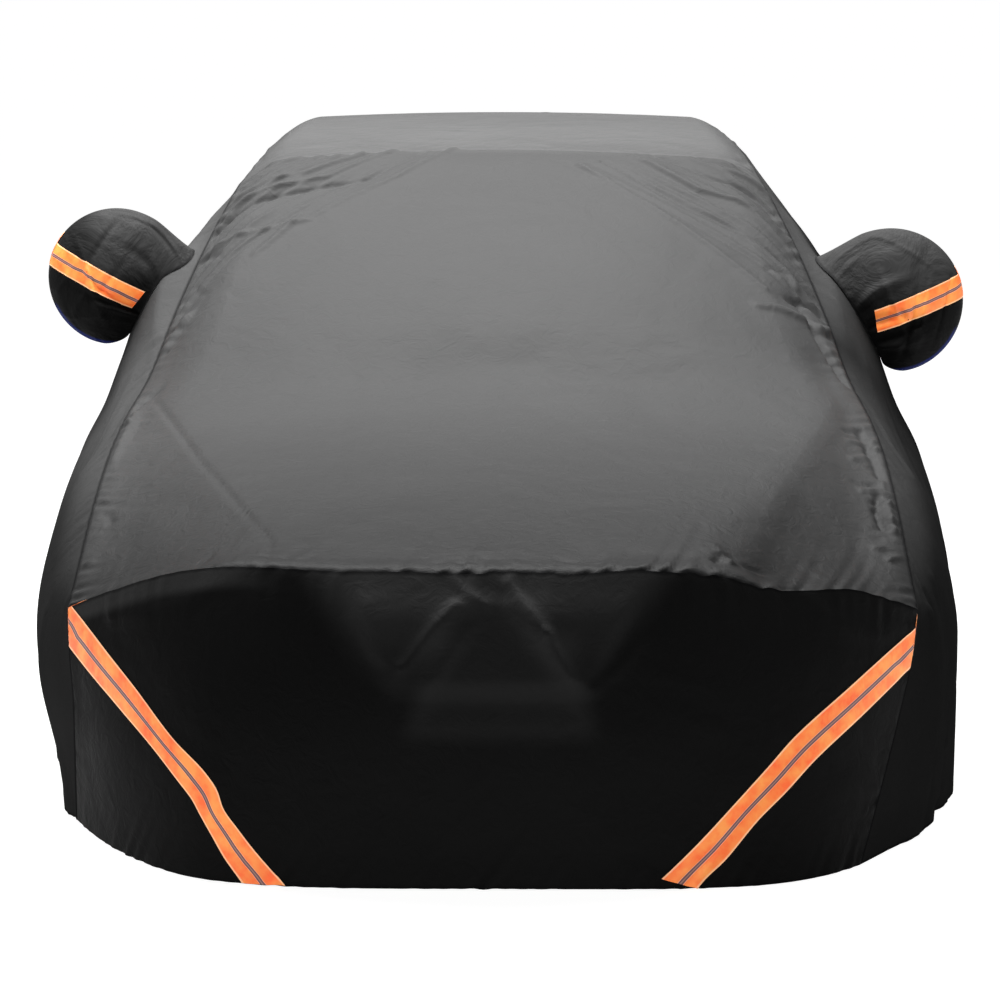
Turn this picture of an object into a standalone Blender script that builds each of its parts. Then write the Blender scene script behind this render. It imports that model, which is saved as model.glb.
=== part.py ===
"""Fitted car cover, hanging on the outline of a saloon car that is not part of it.

Metres, +Z up. The front of the cover faces -Y, and +X is the right of the front view.
The shape is worked out from the hem at the middle of the front, then moved so that the
origin lies on the inner side of the cloth at the top of the roof.
"""
import math

import bmesh
import bpy
import numpy as np
from mathutils import Vector

for leftover in list(bpy.data.objects):
    bpy.data.objects.remove(leftover, do_unlink=True)

# Cloth and tape
CLOTH = 0.002            # thickness of every panel
TAPE = 0.001             # thickness of the reflective tape
GAP = 0.0003             # free space between pieces that meet
SEAM_INSET = 0.0007      # how far a panel stops short of a flat seam
CORNER_INSET = 0.0012    # the same at the sharp seam along the hood edge

# Fineness of the panels
HALF_COLUMNS = 16        # columns from the middle of the upper panel to its seam
DROP_ROWS = 8            # rows from the side seam down to the hem
POCKET_TURNS = 18
POCKET_RINGS = 10

# Level of the four rails of a side panel, as a fraction of the way down it
RAIL_LEVELS = (0.0, 0.28, 0.60, 1.0)

# Sections of the cover from the front to the back, in metres from the front hem.
# mid: the cloth on the centre line. shoulder: where the flat top bends, and how far it
# has dropped there. seam: upper edge of the side panel. belt, wide, hem: the side below
# it. rows: rows of cloth between a section and the next.
SECTION_COLUMNS = ("name", "mid_y", "mid_z", "shoulder_x", "shoulder_drop",
                   "seam_x", "seam_y", "seam_z", "belt_x", "belt_z",
                   "wide_x", "wide_z", "hem_left", "hem_right", "hem_z", "rows")
SECTIONS = [
    ("hood edge",   0.11, 0.562, 0.45, 0.002, 0.798, 0.45, 0.436, 0, 0, 0, 0, 0, 0, 0, 3),
    ("hood front",  0.34, 0.612, 0.44, 0.010, 0.792, 0.58, 0.490,
     0.838, 0.420, 0.858, 0.28, 0.818, 0.848, 0.000, 3),
    ("hood middle", 0.62, 0.668, 0.51, 0.016, 0.786, 0.78, 0.565,
     0.858, 0.490, 0.900, 0.31, 0.853, 0.892, 0.000, 3),
    ("hood rear",   0.88, 0.718, 0.59, 0.022, 0.777, 1.00, 0.636,
     0.862, 0.545, 0.918, 0.34, 0.882, 0.920, 0.000, 3),
    ("cowl",        1.08, 0.772, 0.63, 0.036, 0.760, 1.18, 0.692,
     0.852, 0.590, 0.920, 0.39, 0.898, 0.922, 0.004, 3),
    ("glass foot",  1.28, 0.890, 0.59, 0.062, 0.728, 1.36, 0.752,
     0.832, 0.655, 0.920, 0.43, 0.902, 0.918, 0.008, 4),
    ("glass",       1.54, 1.026, 0.55, 0.058, 0.690, 1.57, 0.862,
     0.820, 0.715, 0.920, 0.45, 0.902, 0.910, 0.010, 5),
    ("glass top",   1.76, 1.126, 0.51, 0.040, 0.632, 1.74, 1.000,
     0.806, 0.775, 0.920, 0.46, 0.902, 0.906, 0.010, 5),
    ("header",      1.91, 1.186, 0.47, 0.016, 0.578, 1.90, 1.106,
     0.800, 0.770, 0.920, 0.46, 0.902, 0.904, 0.010, 2),
    ("roof front",  2.20, 1.212, 0.46, 0.010, 0.564, 2.20, 1.128,
     0.800, 0.765, 0.920, 0.46, 0.902, 0.902, 0.010, 2),
    ("roof peak",   2.60, 1.222, 0.44, 0.010, 0.552, 2.60, 1.142,
     0.808, 0.765, 0.920, 0.41, 0.902, 0.902, 0.010, 2),
    ("roof rear",   3.08, 1.190, 0.43, 0.012, 0.556, 3.04, 1.112,
     0.808, 0.765, 0.920, 0.41, 0.902, 0.902, 0.010, 3),
    ("back glass",  3.40, 1.132, 0.43, 0.020, 0.590, 3.36, 1.034,
     0.812, 0.762, 0.918, 0.41, 0.900, 0.900, 0.010, 3),
    ("back foot",   3.90, 0.930, 0.48, 0.026, 0.680, 3.84, 0.850,
     0.828, 0.735, 0.912, 0.42, 0.892, 0.892, 0.010, 2),
    ("trunk",       4.15, 0.872, 0.54, 0.022, 0.712, 4.06, 0.796,
     0.828, 0.700, 0.896, 0.42, 0.874, 0.874, 0.012, 2),
    ("trunk lip",   4.46, 0.846, 0.56, 0.020, 0.742, 4.30, 0.762, 0, 0, 0, 0, 0, 0, 0, 0),
    ("rear top",    4.56, 0.752, 0.56, 0.014, 0.778, 4.36, 0.640, 0, 0, 0, 0, 0, 0, 0, 0),
    ("rear middle", 4.62, 0.450, 0.56, 0.008, 0.812, 4.36, 0.390, 0, 0, 0, 0, 0, 0, 0, 0),
    ("rear hem",    4.58, 0.012, 0.56, 0.000, 0.802, 4.27, 0.012, 0, 0, 0, 0, 0, 0, 0, 0),
]
BODY = 16                # sections that carry a side panel
SWEEP_POWER = 2.6        # how late the cloth sweeps back towards the seam

# Seam between front and side panel, below the hood edge: x, y, z at the rail levels
FRONT_CORNER = {
    -1: ((0.797, 0.450, 0.355), (0.791, 0.462, 0.240), (0.800, 0.565, 0.000)),
    +1: ((0.787, 0.424, 0.355), (0.757, 0.378, 0.235), (0.680, 0.222, 0.000)),
}

# Front hem, seen from above: half width and power of its curve on each side
FRONT_HEM = {-1: (0.803, 0.537, 4.5), +1: (0.825, 0.537, 5.4)}
HEM_SET_BACK = 0.028     # how far the hem is tucked in at the middle of the front
NOSE_BULGE = 0.052       # how far the front swells past a straight drop

# Neck of each mirror pocket on its side panel, and the bag sewn round it
POCKET_COLUMNS = ("along", "down", "half_along", "half_down", "radius",
                  "thick", "lift_x", "lift_z", "forward", "stand_off")
POCKETS = {
    -1: (6.90, 0.133, 0.34, 0.110, 0.148, 0.064, 0.917, 0.400, 0.030, -0.006),
    +1: (6.90, 0.176, 0.34, 0.132, 0.156, 0.068, 0.952, 0.306, 0.030, 0.000),
}
HOLE_SHARE = 0.84        # size of the neck hole against the seam ring round it
NECK_CLEAR = 0.0016      # free space under the neck seam, over the facets of the panel


def column(name):
    """One named column of the section table."""
    place = SECTION_COLUMNS.index(name)
    return np.array([row[place] for row in SECTIONS], dtype=float)


def spline(knots, values, at):
    """Smooth curve through the values at the knots, with no overshoot between them."""
    knots = np.asarray(knots, dtype=float)
    values = np.asarray(values, dtype=float)
    at = np.clip(np.asarray(at, dtype=float), knots[0], knots[-1])
    step = np.diff(knots)
    shape = (-1,) + (1,) * (values.ndim - 1)
    width = step.reshape(shape)
    rise = np.diff(values, axis=0) / width
    slope = np.zeros_like(values)
    before = rise[:-1]
    after = rise[1:]
    same = before * after > 0
    safe_before = np.where(same, before, 1.0)
    safe_after = np.where(same, after, 1.0)
    weight_a = 2 * width[1:] + width[:-1]
    weight_b = width[1:] + 2 * width[:-1]
    mean = (weight_a + weight_b) / (weight_a / safe_before + weight_b / safe_after)
    slope[1:-1] = np.where(same, mean, 0.0)
    slope[0] = 1.5 * rise[0] - 0.5 * slope[1]
    slope[-1] = 1.5 * rise[-1] - 0.5 * slope[-2]
    cell = np.clip(np.searchsorted(knots, at, side="right") - 1, 0, len(step) - 1)
    frac = (at - knots[cell]) / step[cell]
    grow = cell.shape + (1,) * (values.ndim - 1)
    f = frac.reshape(grow)
    h = step[cell].reshape(grow)
    return (values[cell] * (2 * f**3 - 3 * f**2 + 1)
            + slope[cell] * h * (f**3 - 2 * f**2 + f)
            + values[cell + 1] * (3 * f**2 - 2 * f**3)
            + slope[cell + 1] * h * (f**3 - f**2))


def smooth_step(x):
    x = np.clip(x, 0.0, 1.0)
    return x * x * (3 - 2 * x)


MID = np.stack([column("mid_y"), column("mid_z")], axis=1)
STATIONS = np.concatenate([[0.0], np.cumsum(np.linalg.norm(np.diff(MID, axis=0), axis=1))])
INDEX = np.arange(len(SECTIONS), dtype=float)


def station(place):
    """Distance along the centre line for a section number, which may be a fraction."""
    return np.interp(place, INDEX, STATIONS)


def side_rails(side):
    """Seam, belt, widest line and hem of one side panel at each body section."""
    seam_y = column("seam_y")
    hem = column("hem_left") if side < 0 else column("hem_right")
    rails = np.stack([
        np.stack([column("seam_x"), seam_y, column("seam_z")], axis=1),
        np.stack([column("belt_x"), seam_y, column("belt_z")], axis=1),
        np.stack([column("wide_x"), seam_y, column("wide_z")], axis=1),
        np.stack([hem, seam_y, column("hem_z")], axis=1),
    ])
    rails[1:, 0] = FRONT_CORNER[side]
    rails[1:, BODY - 1] = rails[0, BODY:BODY + 3]
    return rails[:, :BODY]


RAILS = {side: side_rails(side) for side in (-1, 1)}


def side_base(side, place, level):
    """Side panel before its folds; place is a section number, level runs 0 to 1 down."""
    place, level = np.broadcast_arrays(np.asarray(place, float), np.asarray(level, float))
    flat_place = place.ravel()
    flat_level = level.ravel()
    rails = np.stack([spline(STATIONS[:BODY], rail, station(flat_place))
                      for rail in RAILS[side]])
    points = np.zeros((flat_place.size, 3))
    for cut in np.unique(flat_level):
        rows = flat_level == cut
        points[rows] = spline(RAIL_LEVELS, rails[:, rows], cut)
    points[:, 0] *= side
    return points.reshape(place.shape + (3,))


def seam_point(side, place):
    """Edge of the upper panel: along the side, then down the rear corner."""
    place = np.asarray(place, dtype=float)
    body = side_base(side, np.minimum(place, BODY - 1.0), 0.0)
    drop = np.interp(place, INDEX[BODY - 1:], RAIL_LEVELS)
    corner = side_base(side, BODY - 1.0, drop)
    return np.where((place > BODY - 1)[..., None], corner, body)


def top_base(across, place):
    """Upper panel before its folds; across runs -1 to 1 from seam to seam."""
    across, place = np.broadcast_arrays(np.asarray(across, float), np.asarray(place, float))
    along = station(place)
    mid = spline(STATIONS, MID, along)
    edge = np.where((across < 0)[..., None], seam_point(-1, place), seam_point(1, place))
    reach = np.abs(across)
    bend = spline(STATIONS, column("shoulder_x"), along) / np.abs(edge[..., 0])
    dip = spline(STATIONS, column("shoulder_drop"), along)
    drop = mid[..., 1] - edge[..., 2]
    points = np.zeros(across.shape + (3,))
    points[..., 0] = edge[..., 0] * reach
    points[..., 1] = mid[..., 0] + (edge[..., 1] - mid[..., 0]) * reach**SWEEP_POWER
    inner = dip / bend**2
    slope = 2 * dip / bend
    outer = np.maximum(reach - bend, 0.0)
    span = 1 - bend
    rest = drop - dip - slope * span
    falling = dip + slope * outer + rest * (outer / span)**1.7
    points[..., 2] = mid[..., 1] - np.where(reach < bend, inner * reach**2, falling)
    return points


def front_base(across, level):
    """Front panel before its folds, from the hood edge down to the front hem."""
    across, level = np.broadcast_arrays(np.asarray(across, float), np.asarray(level, float))
    upper = top_base(across, 0.0)
    lower = np.zeros(across.shape + (3,))
    left_end = FRONT_CORNER[-1][2][0]
    right_end = FRONT_CORNER[1][2][0]
    lower[..., 0] = across * (left_end + right_end) / 2 + (right_end - left_end) / 2
    lower[..., 1] = HEM_SET_BACK
    for side in (-1, 1):
        half, depth, power = FRONT_HEM[side]
        curve = HEM_SET_BACK + depth * (np.abs(lower[..., 0]) / half)**power
        lower[..., 1] = np.where(lower[..., 0] * side > 0, curve, lower[..., 1])
    level3 = level[..., None]
    points = upper + (lower - upper) * level3
    reach = np.abs(across)
    swell = np.sin(math.pi * level**0.85)
    points[..., 1] -= NOSE_BULGE * swell * (1 - reach**3)
    for side in (-1, 1):
        corner = side_base(side, 0.0, level)
        top_end = top_base(side * 1.0, 0.0)
        half, depth, power = FRONT_HEM[side]
        low_end = side_base(side, 0.0, 1.0)
        low_end[1] = HEM_SET_BACK + depth * (abs(low_end[0]) / half)**power
        straight = top_end + (low_end - top_end) * level3
        share = np.where(across * side > 0, reach**4, 0.0)
        points += (corner - straight) * share[..., None]
    return points


def pace(values, size):
    """Soft hump of the given half width."""
    return np.exp(-(values / size)**2)


def fold_field(first, second, folds):
    """Height of all folds at points given by two plan coordinates.

    Each fold runs from its start over a bend to its end, and its height changes evenly
    along it; a negative height is a trough.
    """
    total = np.zeros(np.shape(first))
    for fold in folds:
        (_, a0, b0, a1, b1, a2, b2, start, end, half_width) = fold
        best = np.full(np.shape(first), np.inf)
        height = np.zeros(np.shape(first))
        for (pa, pb, qa, qb, near, far) in ((a0, b0, a1, b1, 0.0, 0.5),
                                            (a1, b1, a2, b2, 0.5, 1.0)):
            run_a = qa - pa
            run_b = qb - pb
            share = ((first - pa) * run_a + (second - pb) * run_b) / (run_a**2 + run_b**2)
            share = np.clip(share, 0.0, 1.0)
            away = np.hypot(first - pa - share * run_a, second - pb - share * run_b)
            along = near + (far - near) * share
            closer = away < best
            best = np.where(closer, away, best)
            height = np.where(closer, start + (end - start) * along, height)
        total += height * pace(best, half_width)
    return total


FOLD_COLUMNS = ("name", "start_a", "start_b", "bend_a", "bend_b", "end_a", "end_b",
                "start_height", "end_height", "half_width")

# Folds of the upper panel; a is across (x), b is along (y), in metres from the front
TOP_FOLDS = [
    ("left upper",      -0.23, 1.91, -0.37, 1.82, -0.61, 1.76, 0.006, 0.012, 0.024),
    ("left middle",     -0.16, 1.91, -0.34, 1.78, -0.62, 1.73, -0.004, -0.010, 0.022),
    ("left lower",      -0.10, 1.91, -0.31, 1.74, -0.62, 1.70, 0.006, 0.013, 0.026),
    ("left short",      -0.43, 1.68, -0.48, 1.63, -0.53, 1.58, 0.007, 0.004, 0.022),
    ("left pocket",     -0.64, 1.52, -0.66, 1.50, -0.70, 1.42, -0.012, -0.006, 0.030),
    ("right long",      0.17, 1.85, 0.35, 1.68, 0.56, 1.49, 0.006, 0.012, 0.024),
    ("right middle",    0.28, 1.89, 0.43, 1.78, 0.61, 1.70, 0.005, 0.012, 0.023),
    ("right hollow",    0.24, 1.86, 0.42, 1.73, 0.59, 1.62, -0.004, -0.010, 0.024),
    ("right upper",     0.41, 1.89, 0.49, 1.85, 0.55, 1.84, 0.005, 0.010, 0.022),
    ("right gather",    0.60, 1.50, 0.64, 1.54, 0.69, 1.55, -0.010, -0.008, 0.026),
    ("right fender",    0.66, 1.34, 0.70, 1.20, 0.72, 1.05, -0.014, -0.004, 0.030),
    ("left fender",     -0.74, 1.22, -0.71, 1.24, -0.67, 1.30, -0.010, -0.003, 0.026),
    ("back left",       -0.36, 3.30, -0.48, 3.45, -0.58, 3.68, 0.006, 0.011, 0.030),
    ("back right",      0.30, 3.28, 0.45, 3.45, 0.58, 3.75, 0.006, 0.011, 0.030),
    ("trunk left",      -0.35, 3.95, -0.50, 4.10, -0.64, 4.36, 0.004, 0.010, 0.034),
    ("trunk right",     0.42, 3.92, 0.52, 4.12, 0.66, 4.38, 0.004, 0.010, 0.034),
]

# Folds of the side panels; a is along (y), b is height (z)
SIDE_FOLDS = {
    -1: [
        ("pillar puff", 1.56, 0.84, 1.70, 0.97, 1.84, 1.08, 0.004, 0.018, 0.080),
        ("mirror neck", 1.60, 0.90, 1.70, 0.90, 1.80, 0.88, 0.030, 0.034, 0.085),
        ("belt hollow", 1.20, 0.62, 1.50, 0.66, 1.90, 0.66, -0.008, -0.012, 0.070),
        ("tuck",        0.62, 0.10, 0.95, 0.10, 1.60, 0.12, -0.020, -0.016, 0.140),
        ("corner",      0.62, 0.42, 0.64, 0.22, 0.66, 0.00, 0.004, 0.012, 0.050),
        ("wheel",       1.02, 0.30, 1.08, 0.15, 1.10, 0.00, -0.006, -0.014, 0.060),
        ("front door",  1.95, 0.40, 1.92, 0.20, 1.86, 0.00, 0.004, 0.013, 0.060),
        ("pillar",      2.52, 0.62, 2.50, 0.30, 2.44, 0.00, -0.004, -0.013, 0.070),
        ("rear door",   3.02, 0.55, 3.08, 0.25, 3.10, 0.00, 0.004, 0.013, 0.060),
        ("rear wheel",  3.52, 0.42, 3.60, 0.20, 3.62, 0.00, -0.004, -0.012, 0.060),
        ("rear corner", 4.02, 0.45, 4.05, 0.22, 4.04, 0.00, 0.004, 0.012, 0.050),
        ("glass",       2.05, 1.00, 2.25, 0.86, 2.40, 0.74, 0.008, 0.004, 0.040),
        ("back glass",  3.35, 0.92, 3.25, 0.82, 3.05, 0.72, 0.008, 0.004, 0.040),
    ],
    +1: [
        ("pillar puff", 1.56, 0.84, 1.70, 0.97, 1.84, 1.08, 0.004, 0.016, 0.080),
        ("mirror neck", 1.60, 0.90, 1.70, 0.88, 1.80, 0.84, 0.018, 0.022, 0.085),
        ("belt hollow", 1.20, 0.62, 1.50, 0.66, 1.90, 0.66, -0.008, -0.012, 0.070),
        ("corner",      0.52, 0.40, 0.50, 0.20, 0.42, 0.00, 0.006, 0.010, 0.045),
        ("corner dip",  0.66, 0.42, 0.68, 0.20, 0.64, 0.00, -0.008, -0.016, 0.040),
        ("wheel",       0.82, 0.44, 0.84, 0.22, 0.82, 0.00, 0.004, 0.006, 0.050),
        ("wheel dip",   1.04, 0.40, 1.06, 0.20, 1.08, 0.00, -0.004, -0.012, 0.050),
        ("front door",  1.72, 0.42, 1.80, 0.20, 1.82, 0.00, 0.004, 0.014, 0.060),
        ("pillar",      2.30, 0.55, 2.36, 0.28, 2.42, 0.00, -0.004, -0.013, 0.070),
        ("rear door",   2.90, 0.60, 2.94, 0.26, 3.00, 0.00, 0.004, 0.013, 0.060),
        ("rear wheel",  3.48, 0.44, 3.52, 0.22, 3.50, 0.00, -0.004, -0.012, 0.060),
        ("rear corner", 3.98, 0.48, 4.00, 0.24, 4.06, 0.00, 0.004, 0.012, 0.050),
        ("glass",       2.10, 1.00, 2.28, 0.88, 2.46, 0.76, 0.008, 0.004, 0.040),
        ("back glass",  3.30, 0.94, 3.20, 0.84, 2.98, 0.74, 0.008, 0.004, 0.040),
    ],
}

# Folds of the front panel; a is across (x), b is height (z)
FRONT_FOLDS = [
    ("left of grille",  -0.16, 0.39, -0.11, 0.45, -0.05, 0.51, 0.007, 0.009, 0.020),
    ("right of grille", 0.04, 0.51, 0.09, 0.45, 0.14, 0.39, 0.010, 0.006, 0.018),
    ("left cheek",      -0.55, 0.44, -0.52, 0.25, -0.54, 0.02, 0.002, 0.008, 0.080),
    ("right cheek",     0.50, 0.42, 0.46, 0.22, 0.44, 0.02, 0.002, -0.008, 0.080),
]
# Raised nose and the hollow that the cloth makes over the grille: the top and bottom of
# each, its left and right ends there, its height and the softness of its edge
PATCH_COLUMNS = ("name", "top", "bottom", "top_left", "top_right", "low_left",
                 "low_right", "height", "soft")
FRONT_PATCHES = [
    ("nose",   0.70, 0.36, -0.33, 0.38, -0.18, 0.17, 0.014, 0.045),
    ("grille", 0.475, 0.305, -0.035, 0.075, -0.125, 0.170, -0.016, 0.030),
]

# The right half of the hood hangs lower than the left along its front edge
SAG_DEPTH = 0.038
SAG_INNER = 0.090
SAG_OUTER = 0.150
SAG_REACH = 2.6          # sections over which it runs out


def hood_sag(points, place):
    """How far the cloth drops beside the right hood crease."""
    crease = 0.50 + 0.035 * place
    size = np.where(points[..., 0] < crease, SAG_INNER, SAG_OUTER)
    depth = SAG_DEPTH * (1 - smooth_step(place / SAG_REACH))
    edge = smooth_step((0.80 - points[..., 0]) / 0.10)
    return depth * pace(points[..., 0] - crease, size) * edge


def patch_field(across, height, patches):
    """Height of soft-edged patches on the front panel."""
    total = np.zeros(np.shape(across))
    for (_, top, bottom, top_left, top_right, low_left, low_right, lift, soft) in patches:
        share = np.clip((height - bottom) / (top - bottom), 0.0, 1.0)
        left = low_left + (top_left - low_left) * share
        right = low_right + (top_right - low_right) * share
        inside = (smooth_step((across - left) / soft + 0.5)
                  * smooth_step((right - across) / soft + 0.5)
                  * smooth_step((height - bottom) / soft + 0.5)
                  * smooth_step((top - height) / soft + 0.5))
        total += lift * inside
    return total


def surface_normals(points):
    """Unit normals of a grid of points."""
    first = np.gradient(points, axis=0)
    second = np.gradient(points, axis=1)
    normal = np.cross(first, second)
    return normal / np.linalg.norm(normal, axis=-1, keepdims=True)


def top_surface(across, place):
    """Upper panel with its folds, for a full grid of the two parameters."""
    points = top_base(across, place)
    points[..., 2] -= hood_sag(points, place)
    normal = surface_normals(points)
    normal *= np.sign(np.sum(normal * np.array([0.0, 0.35, 1.0]), axis=-1))[..., None]
    fade = smooth_step((1 - np.abs(across)) / 0.07) * smooth_step(place / 0.6)
    lift = fold_field(points[..., 0], points[..., 1], TOP_FOLDS) * fade
    flap = 1 - smooth_step(place - (BODY - 1.5))
    return points + normal * (lift * flap)[..., None]


def side_surface(side, place, level, raise_by=0.0):
    """Side panel with its folds, for a full grid of the two parameters."""
    points = side_base(side, place, level)
    normal = surface_normals(points)
    normal *= np.sign(normal[..., 0:1] * side + 0.3 * normal[..., 2:3])
    fade = (smooth_step(level / 0.07) * smooth_step(place / 0.8)
            * smooth_step((BODY - 1 - place) / 0.8))
    lift = fold_field(points[..., 1], points[..., 2], SIDE_FOLDS[side]) * fade
    return points + normal * (lift + raise_by)[..., None]


def front_surface(across, level):
    """Front panel with its folds, for a full grid of the two parameters."""
    points = front_base(across, level)
    dropped = top_base(across, 0.0 * level)
    sag = hood_sag(dropped, 0.0 * level) * (1 - level)
    points[..., 2] -= sag
    normal = surface_normals(points)
    normal *= -np.sign(normal[..., 1:2])
    fade = smooth_step((1 - np.abs(across)) / 0.10) * smooth_step(level / 0.16)
    lift = fold_field(points[..., 0], points[..., 2], FRONT_FOLDS)
    lift += patch_field(points[..., 0], points[..., 2], FRONT_PATCHES)
    return points + normal * (lift * fade)[..., None]


# Parameter lines shared by panels that meet
SPREAD = 0.30            # how much closer the columns lie near the side seams


def column_places(inset):
    """Places of the columns across, closer together near the seams."""
    even = np.linspace(-1, 1, 2 * HALF_COLUMNS + 1)
    places = even * (1 + SPREAD - SPREAD * even**2)
    return np.clip(places, -1 + inset, 1 - inset)


def body_places():
    rows = column("rows").astype(int)
    places = [0.0]
    for number in range(BODY - 1):
        count = rows[number]
        places.extend(number + (step + 1) / count for step in range(count))
    return np.array(places)


LEVELS = np.linspace(0, 1, DROP_ROWS + 1)
BODY_PLACES = body_places()
FLAP_PLACES = np.interp(LEVELS[1:], RAIL_LEVELS, INDEX[BODY - 1:])

# Inner side of the cloth at the top of the roof
ROOF = SECTIONS[10]
ORIGIN = np.array([0.0, ROOF[1], ROOF[2] - CLOTH / 2])
HEART = (0.0, 0.0, -0.75)        # a point well inside the cover, seen from the origin

collection = bpy.data.collections.new("car_cover")
bpy.context.scene.collection.children.link(collection)
cutters = bpy.data.collections.new("cutters")
bpy.context.scene.collection.children.link(cutters)


def cloth_material(name, colour, roughness):
    material = bpy.data.materials.new(name)
    material.use_nodes = True
    shader = material.node_tree.nodes["Principled BSDF"]
    shader.inputs["Base Color"].default_value = colour + (1.0,)
    shader.inputs["Roughness"].default_value = roughness
    shader.inputs["Metallic"].default_value = 0.0
    material.diffuse_color = colour + (1.0,)
    return material


def turn_outward(shape, inside):
    """Face all faces away from a point inside the piece."""
    bmesh.ops.recalc_face_normals(shape, faces=shape.faces)
    inside = Vector(inside)
    facing = sum(face.normal.dot(face.calc_center_median() - inside) * face.calc_area()
                 for face in shape.faces)
    if facing < 0:
        bmesh.ops.reverse_faces(shape, faces=shape.faces)
    bmesh.ops.triangulate(shape, faces=shape.faces, quad_method="FIXED")


def grid_object(name, points, material, target):
    """Grid primitive whose points are moved to a two-way table of positions."""
    columns = points.shape[0] - 1
    rows = points.shape[1] - 1
    mesh = bpy.data.meshes.new(name)
    shape = bmesh.new()
    bmesh.ops.create_grid(shape, x_segments=columns, y_segments=rows, size=1.0)
    for vertex in shape.verts:
        across = round((vertex.co.x + 1) / 2 * columns)
        down = round((vertex.co.y + 1) / 2 * rows)
        vertex.co = points[across, down] - ORIGIN
    turn_outward(shape, HEART)
    shape.to_mesh(mesh)
    shape.free()
    mesh.shade_smooth()
    item = bpy.data.objects.new(name, mesh)
    target.objects.link(item)
    if material is not None:
        mesh.materials.append(material)
    return item


def thicken(item, thickness, lift=0.0):
    """Give a sheet its thickness, with its middle raised off the surface by lift."""
    shell = item.modifiers.new("thickness", "SOLIDIFY")
    shell.thickness = thickness
    shell.offset = 2 * lift / thickness
    shell.use_even_offset = True
    return item


def cut(item, cutter, operation):
    cutter.hide_render = True
    cutter.display_type = "WIRE"
    step = item.modifiers.new("cut", "BOOLEAN")
    step.operation = operation
    step.solver = "EXACT"
    step.object = cutter
    return item


black_cloth = (0.020, 0.020, 0.022)
orange_tape = (1.0, 0.23, 0.028)

# Upper panel: one run of cloth over hood, glass, roof and trunk, down to the rear hem
top_places = np.concatenate([BODY_PLACES, FLAP_PLACES])
hood_inset = CORNER_INSET / (station(1.0) - station(0.0))
top_places[0] = hood_inset
seam_inset = SEAM_INSET / 0.6
top_grid = np.meshgrid(column_places(seam_inset), top_places, indexing="ij")
top_panel = grid_object("top_panel", top_surface(*top_grid),
                        cloth_material("black_cloth_top", black_cloth, 0.42), collection)
thicken(top_panel, CLOTH)

# Front panel: from the seam along the hood edge down to the front hem
front_levels = LEVELS.copy()
front_levels[0] = CORNER_INSET / 0.55
front_grid = np.meshgrid(column_places(CORNER_INSET / 0.7), front_levels, indexing="ij")
front_panel = grid_object("front_panel", front_surface(*front_grid),
                          cloth_material("black_cloth_front", black_cloth, 0.50), collection)
thicken(front_panel, CLOTH)


def strip_cutter(name, edges, centre_y, depth):
    """Band between two edges in the front view, deep enough to cut through the cloth."""
    edges = np.array(edges, dtype=float)
    points = np.full((len(edges), 2, 3), centre_y)
    points[:, 0, 0] = edges[:, 0]
    points[:, 0, 2] = edges[:, 1]
    points[:, 1, 0] = edges[:, 2]
    points[:, 1, 2] = edges[:, 3]
    band = grid_object(name, points, None, cutters)
    return thicken(band, depth)


# Reflective tapes on the front panel, as uneven as they lie: upper and lower edge in the
# front view, from the corner seam down to the hem
STRIP_COLUMNS = ("upper_x", "upper_z", "lower_x", "lower_z")
FRONT_STRIPS = {
    "left": [
        (-0.840, 0.484, -0.870, 0.425),
        (-0.774, 0.427, -0.812, 0.374),
        (-0.719, 0.380, -0.757, 0.330),
        (-0.654, 0.325, -0.690, 0.281),
        (-0.577, 0.250, -0.617, 0.223),
        (-0.513, 0.197, -0.566, 0.173),
        (-0.491, 0.167, -0.540, 0.145),
        (-0.481, 0.138, -0.525, 0.120),
        (-0.452, 0.099, -0.502, 0.082),
        (-0.423, 0.063, -0.480, 0.045),
        (-0.374, 0.009, -0.452, 0.007),
        (-0.335, -0.035, -0.425, -0.035),
    ],
    "right": [
        (0.850, 0.440, 0.870, 0.385),
        (0.794, 0.404, 0.815, 0.352),
        (0.735, 0.372, 0.758, 0.316),
        (0.663, 0.329, 0.692, 0.274),
        (0.552, 0.255, 0.590, 0.206),
        (0.500, 0.205, 0.536, 0.158),
        (0.447, 0.153, 0.486, 0.115),
        (0.382, 0.088, 0.425, 0.048),
        (0.330, 0.038, 0.388, 0.014),
        (0.296, 0.006, 0.366, -0.012),
        (0.262, -0.030, 0.335, -0.045),
    ],
}
tape_raise = CLOTH / 2 + GAP + TAPE / 2
for name, edges in FRONT_STRIPS.items():
    strip = grid_object("front_strip_" + name, front_surface(*front_grid),
                        cloth_material("reflective_tape_" + name, orange_tape, 0.35),
                        collection)
    thicken(strip, TAPE, tape_raise)
    cutter = strip_cutter("cutter_front_" + name, edges, 0.2, 1.2)
    cut(strip, cutter, "INTERSECT")


def neck_grid(side, share, raise_by):
    """Oval on the side panel round the neck of the mirror pocket, as parameter offsets.

    Each row of the result holds one turn round the oval; its height over the cloth
    follows the panel's own normal.
    """
    (along, down, half_along, half_down, *_) = POCKETS[side]
    turns = np.arange(POCKET_TURNS) * 2 * math.pi / POCKET_TURNS
    points = np.zeros((POCKET_TURNS, 3))
    small = 0.01
    for number, turn in enumerate(turns):
        place = along - share * half_along * math.sin(turn)
        level = down - share * half_down * math.cos(turn)
        around = np.meshgrid([place - small, place, place + small],
                             [level - small, level, level + small], indexing="ij")
        points[number] = side_surface(side, *around, raise_by=raise_by)[1, 1]
    return points


def pocket_frame(side):
    """Middle of the neck, and the directions outward and up along the neck."""
    middle = neck_grid(side, 1.0, 0.0).mean(axis=0)
    (*_, lift_x, lift_z, _, _) = POCKETS[side]
    outward = np.array([side * lift_x, 0.0, lift_z])
    upward = np.array([-side * lift_z, 0.0, lift_x])
    return middle, outward, upward


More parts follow.
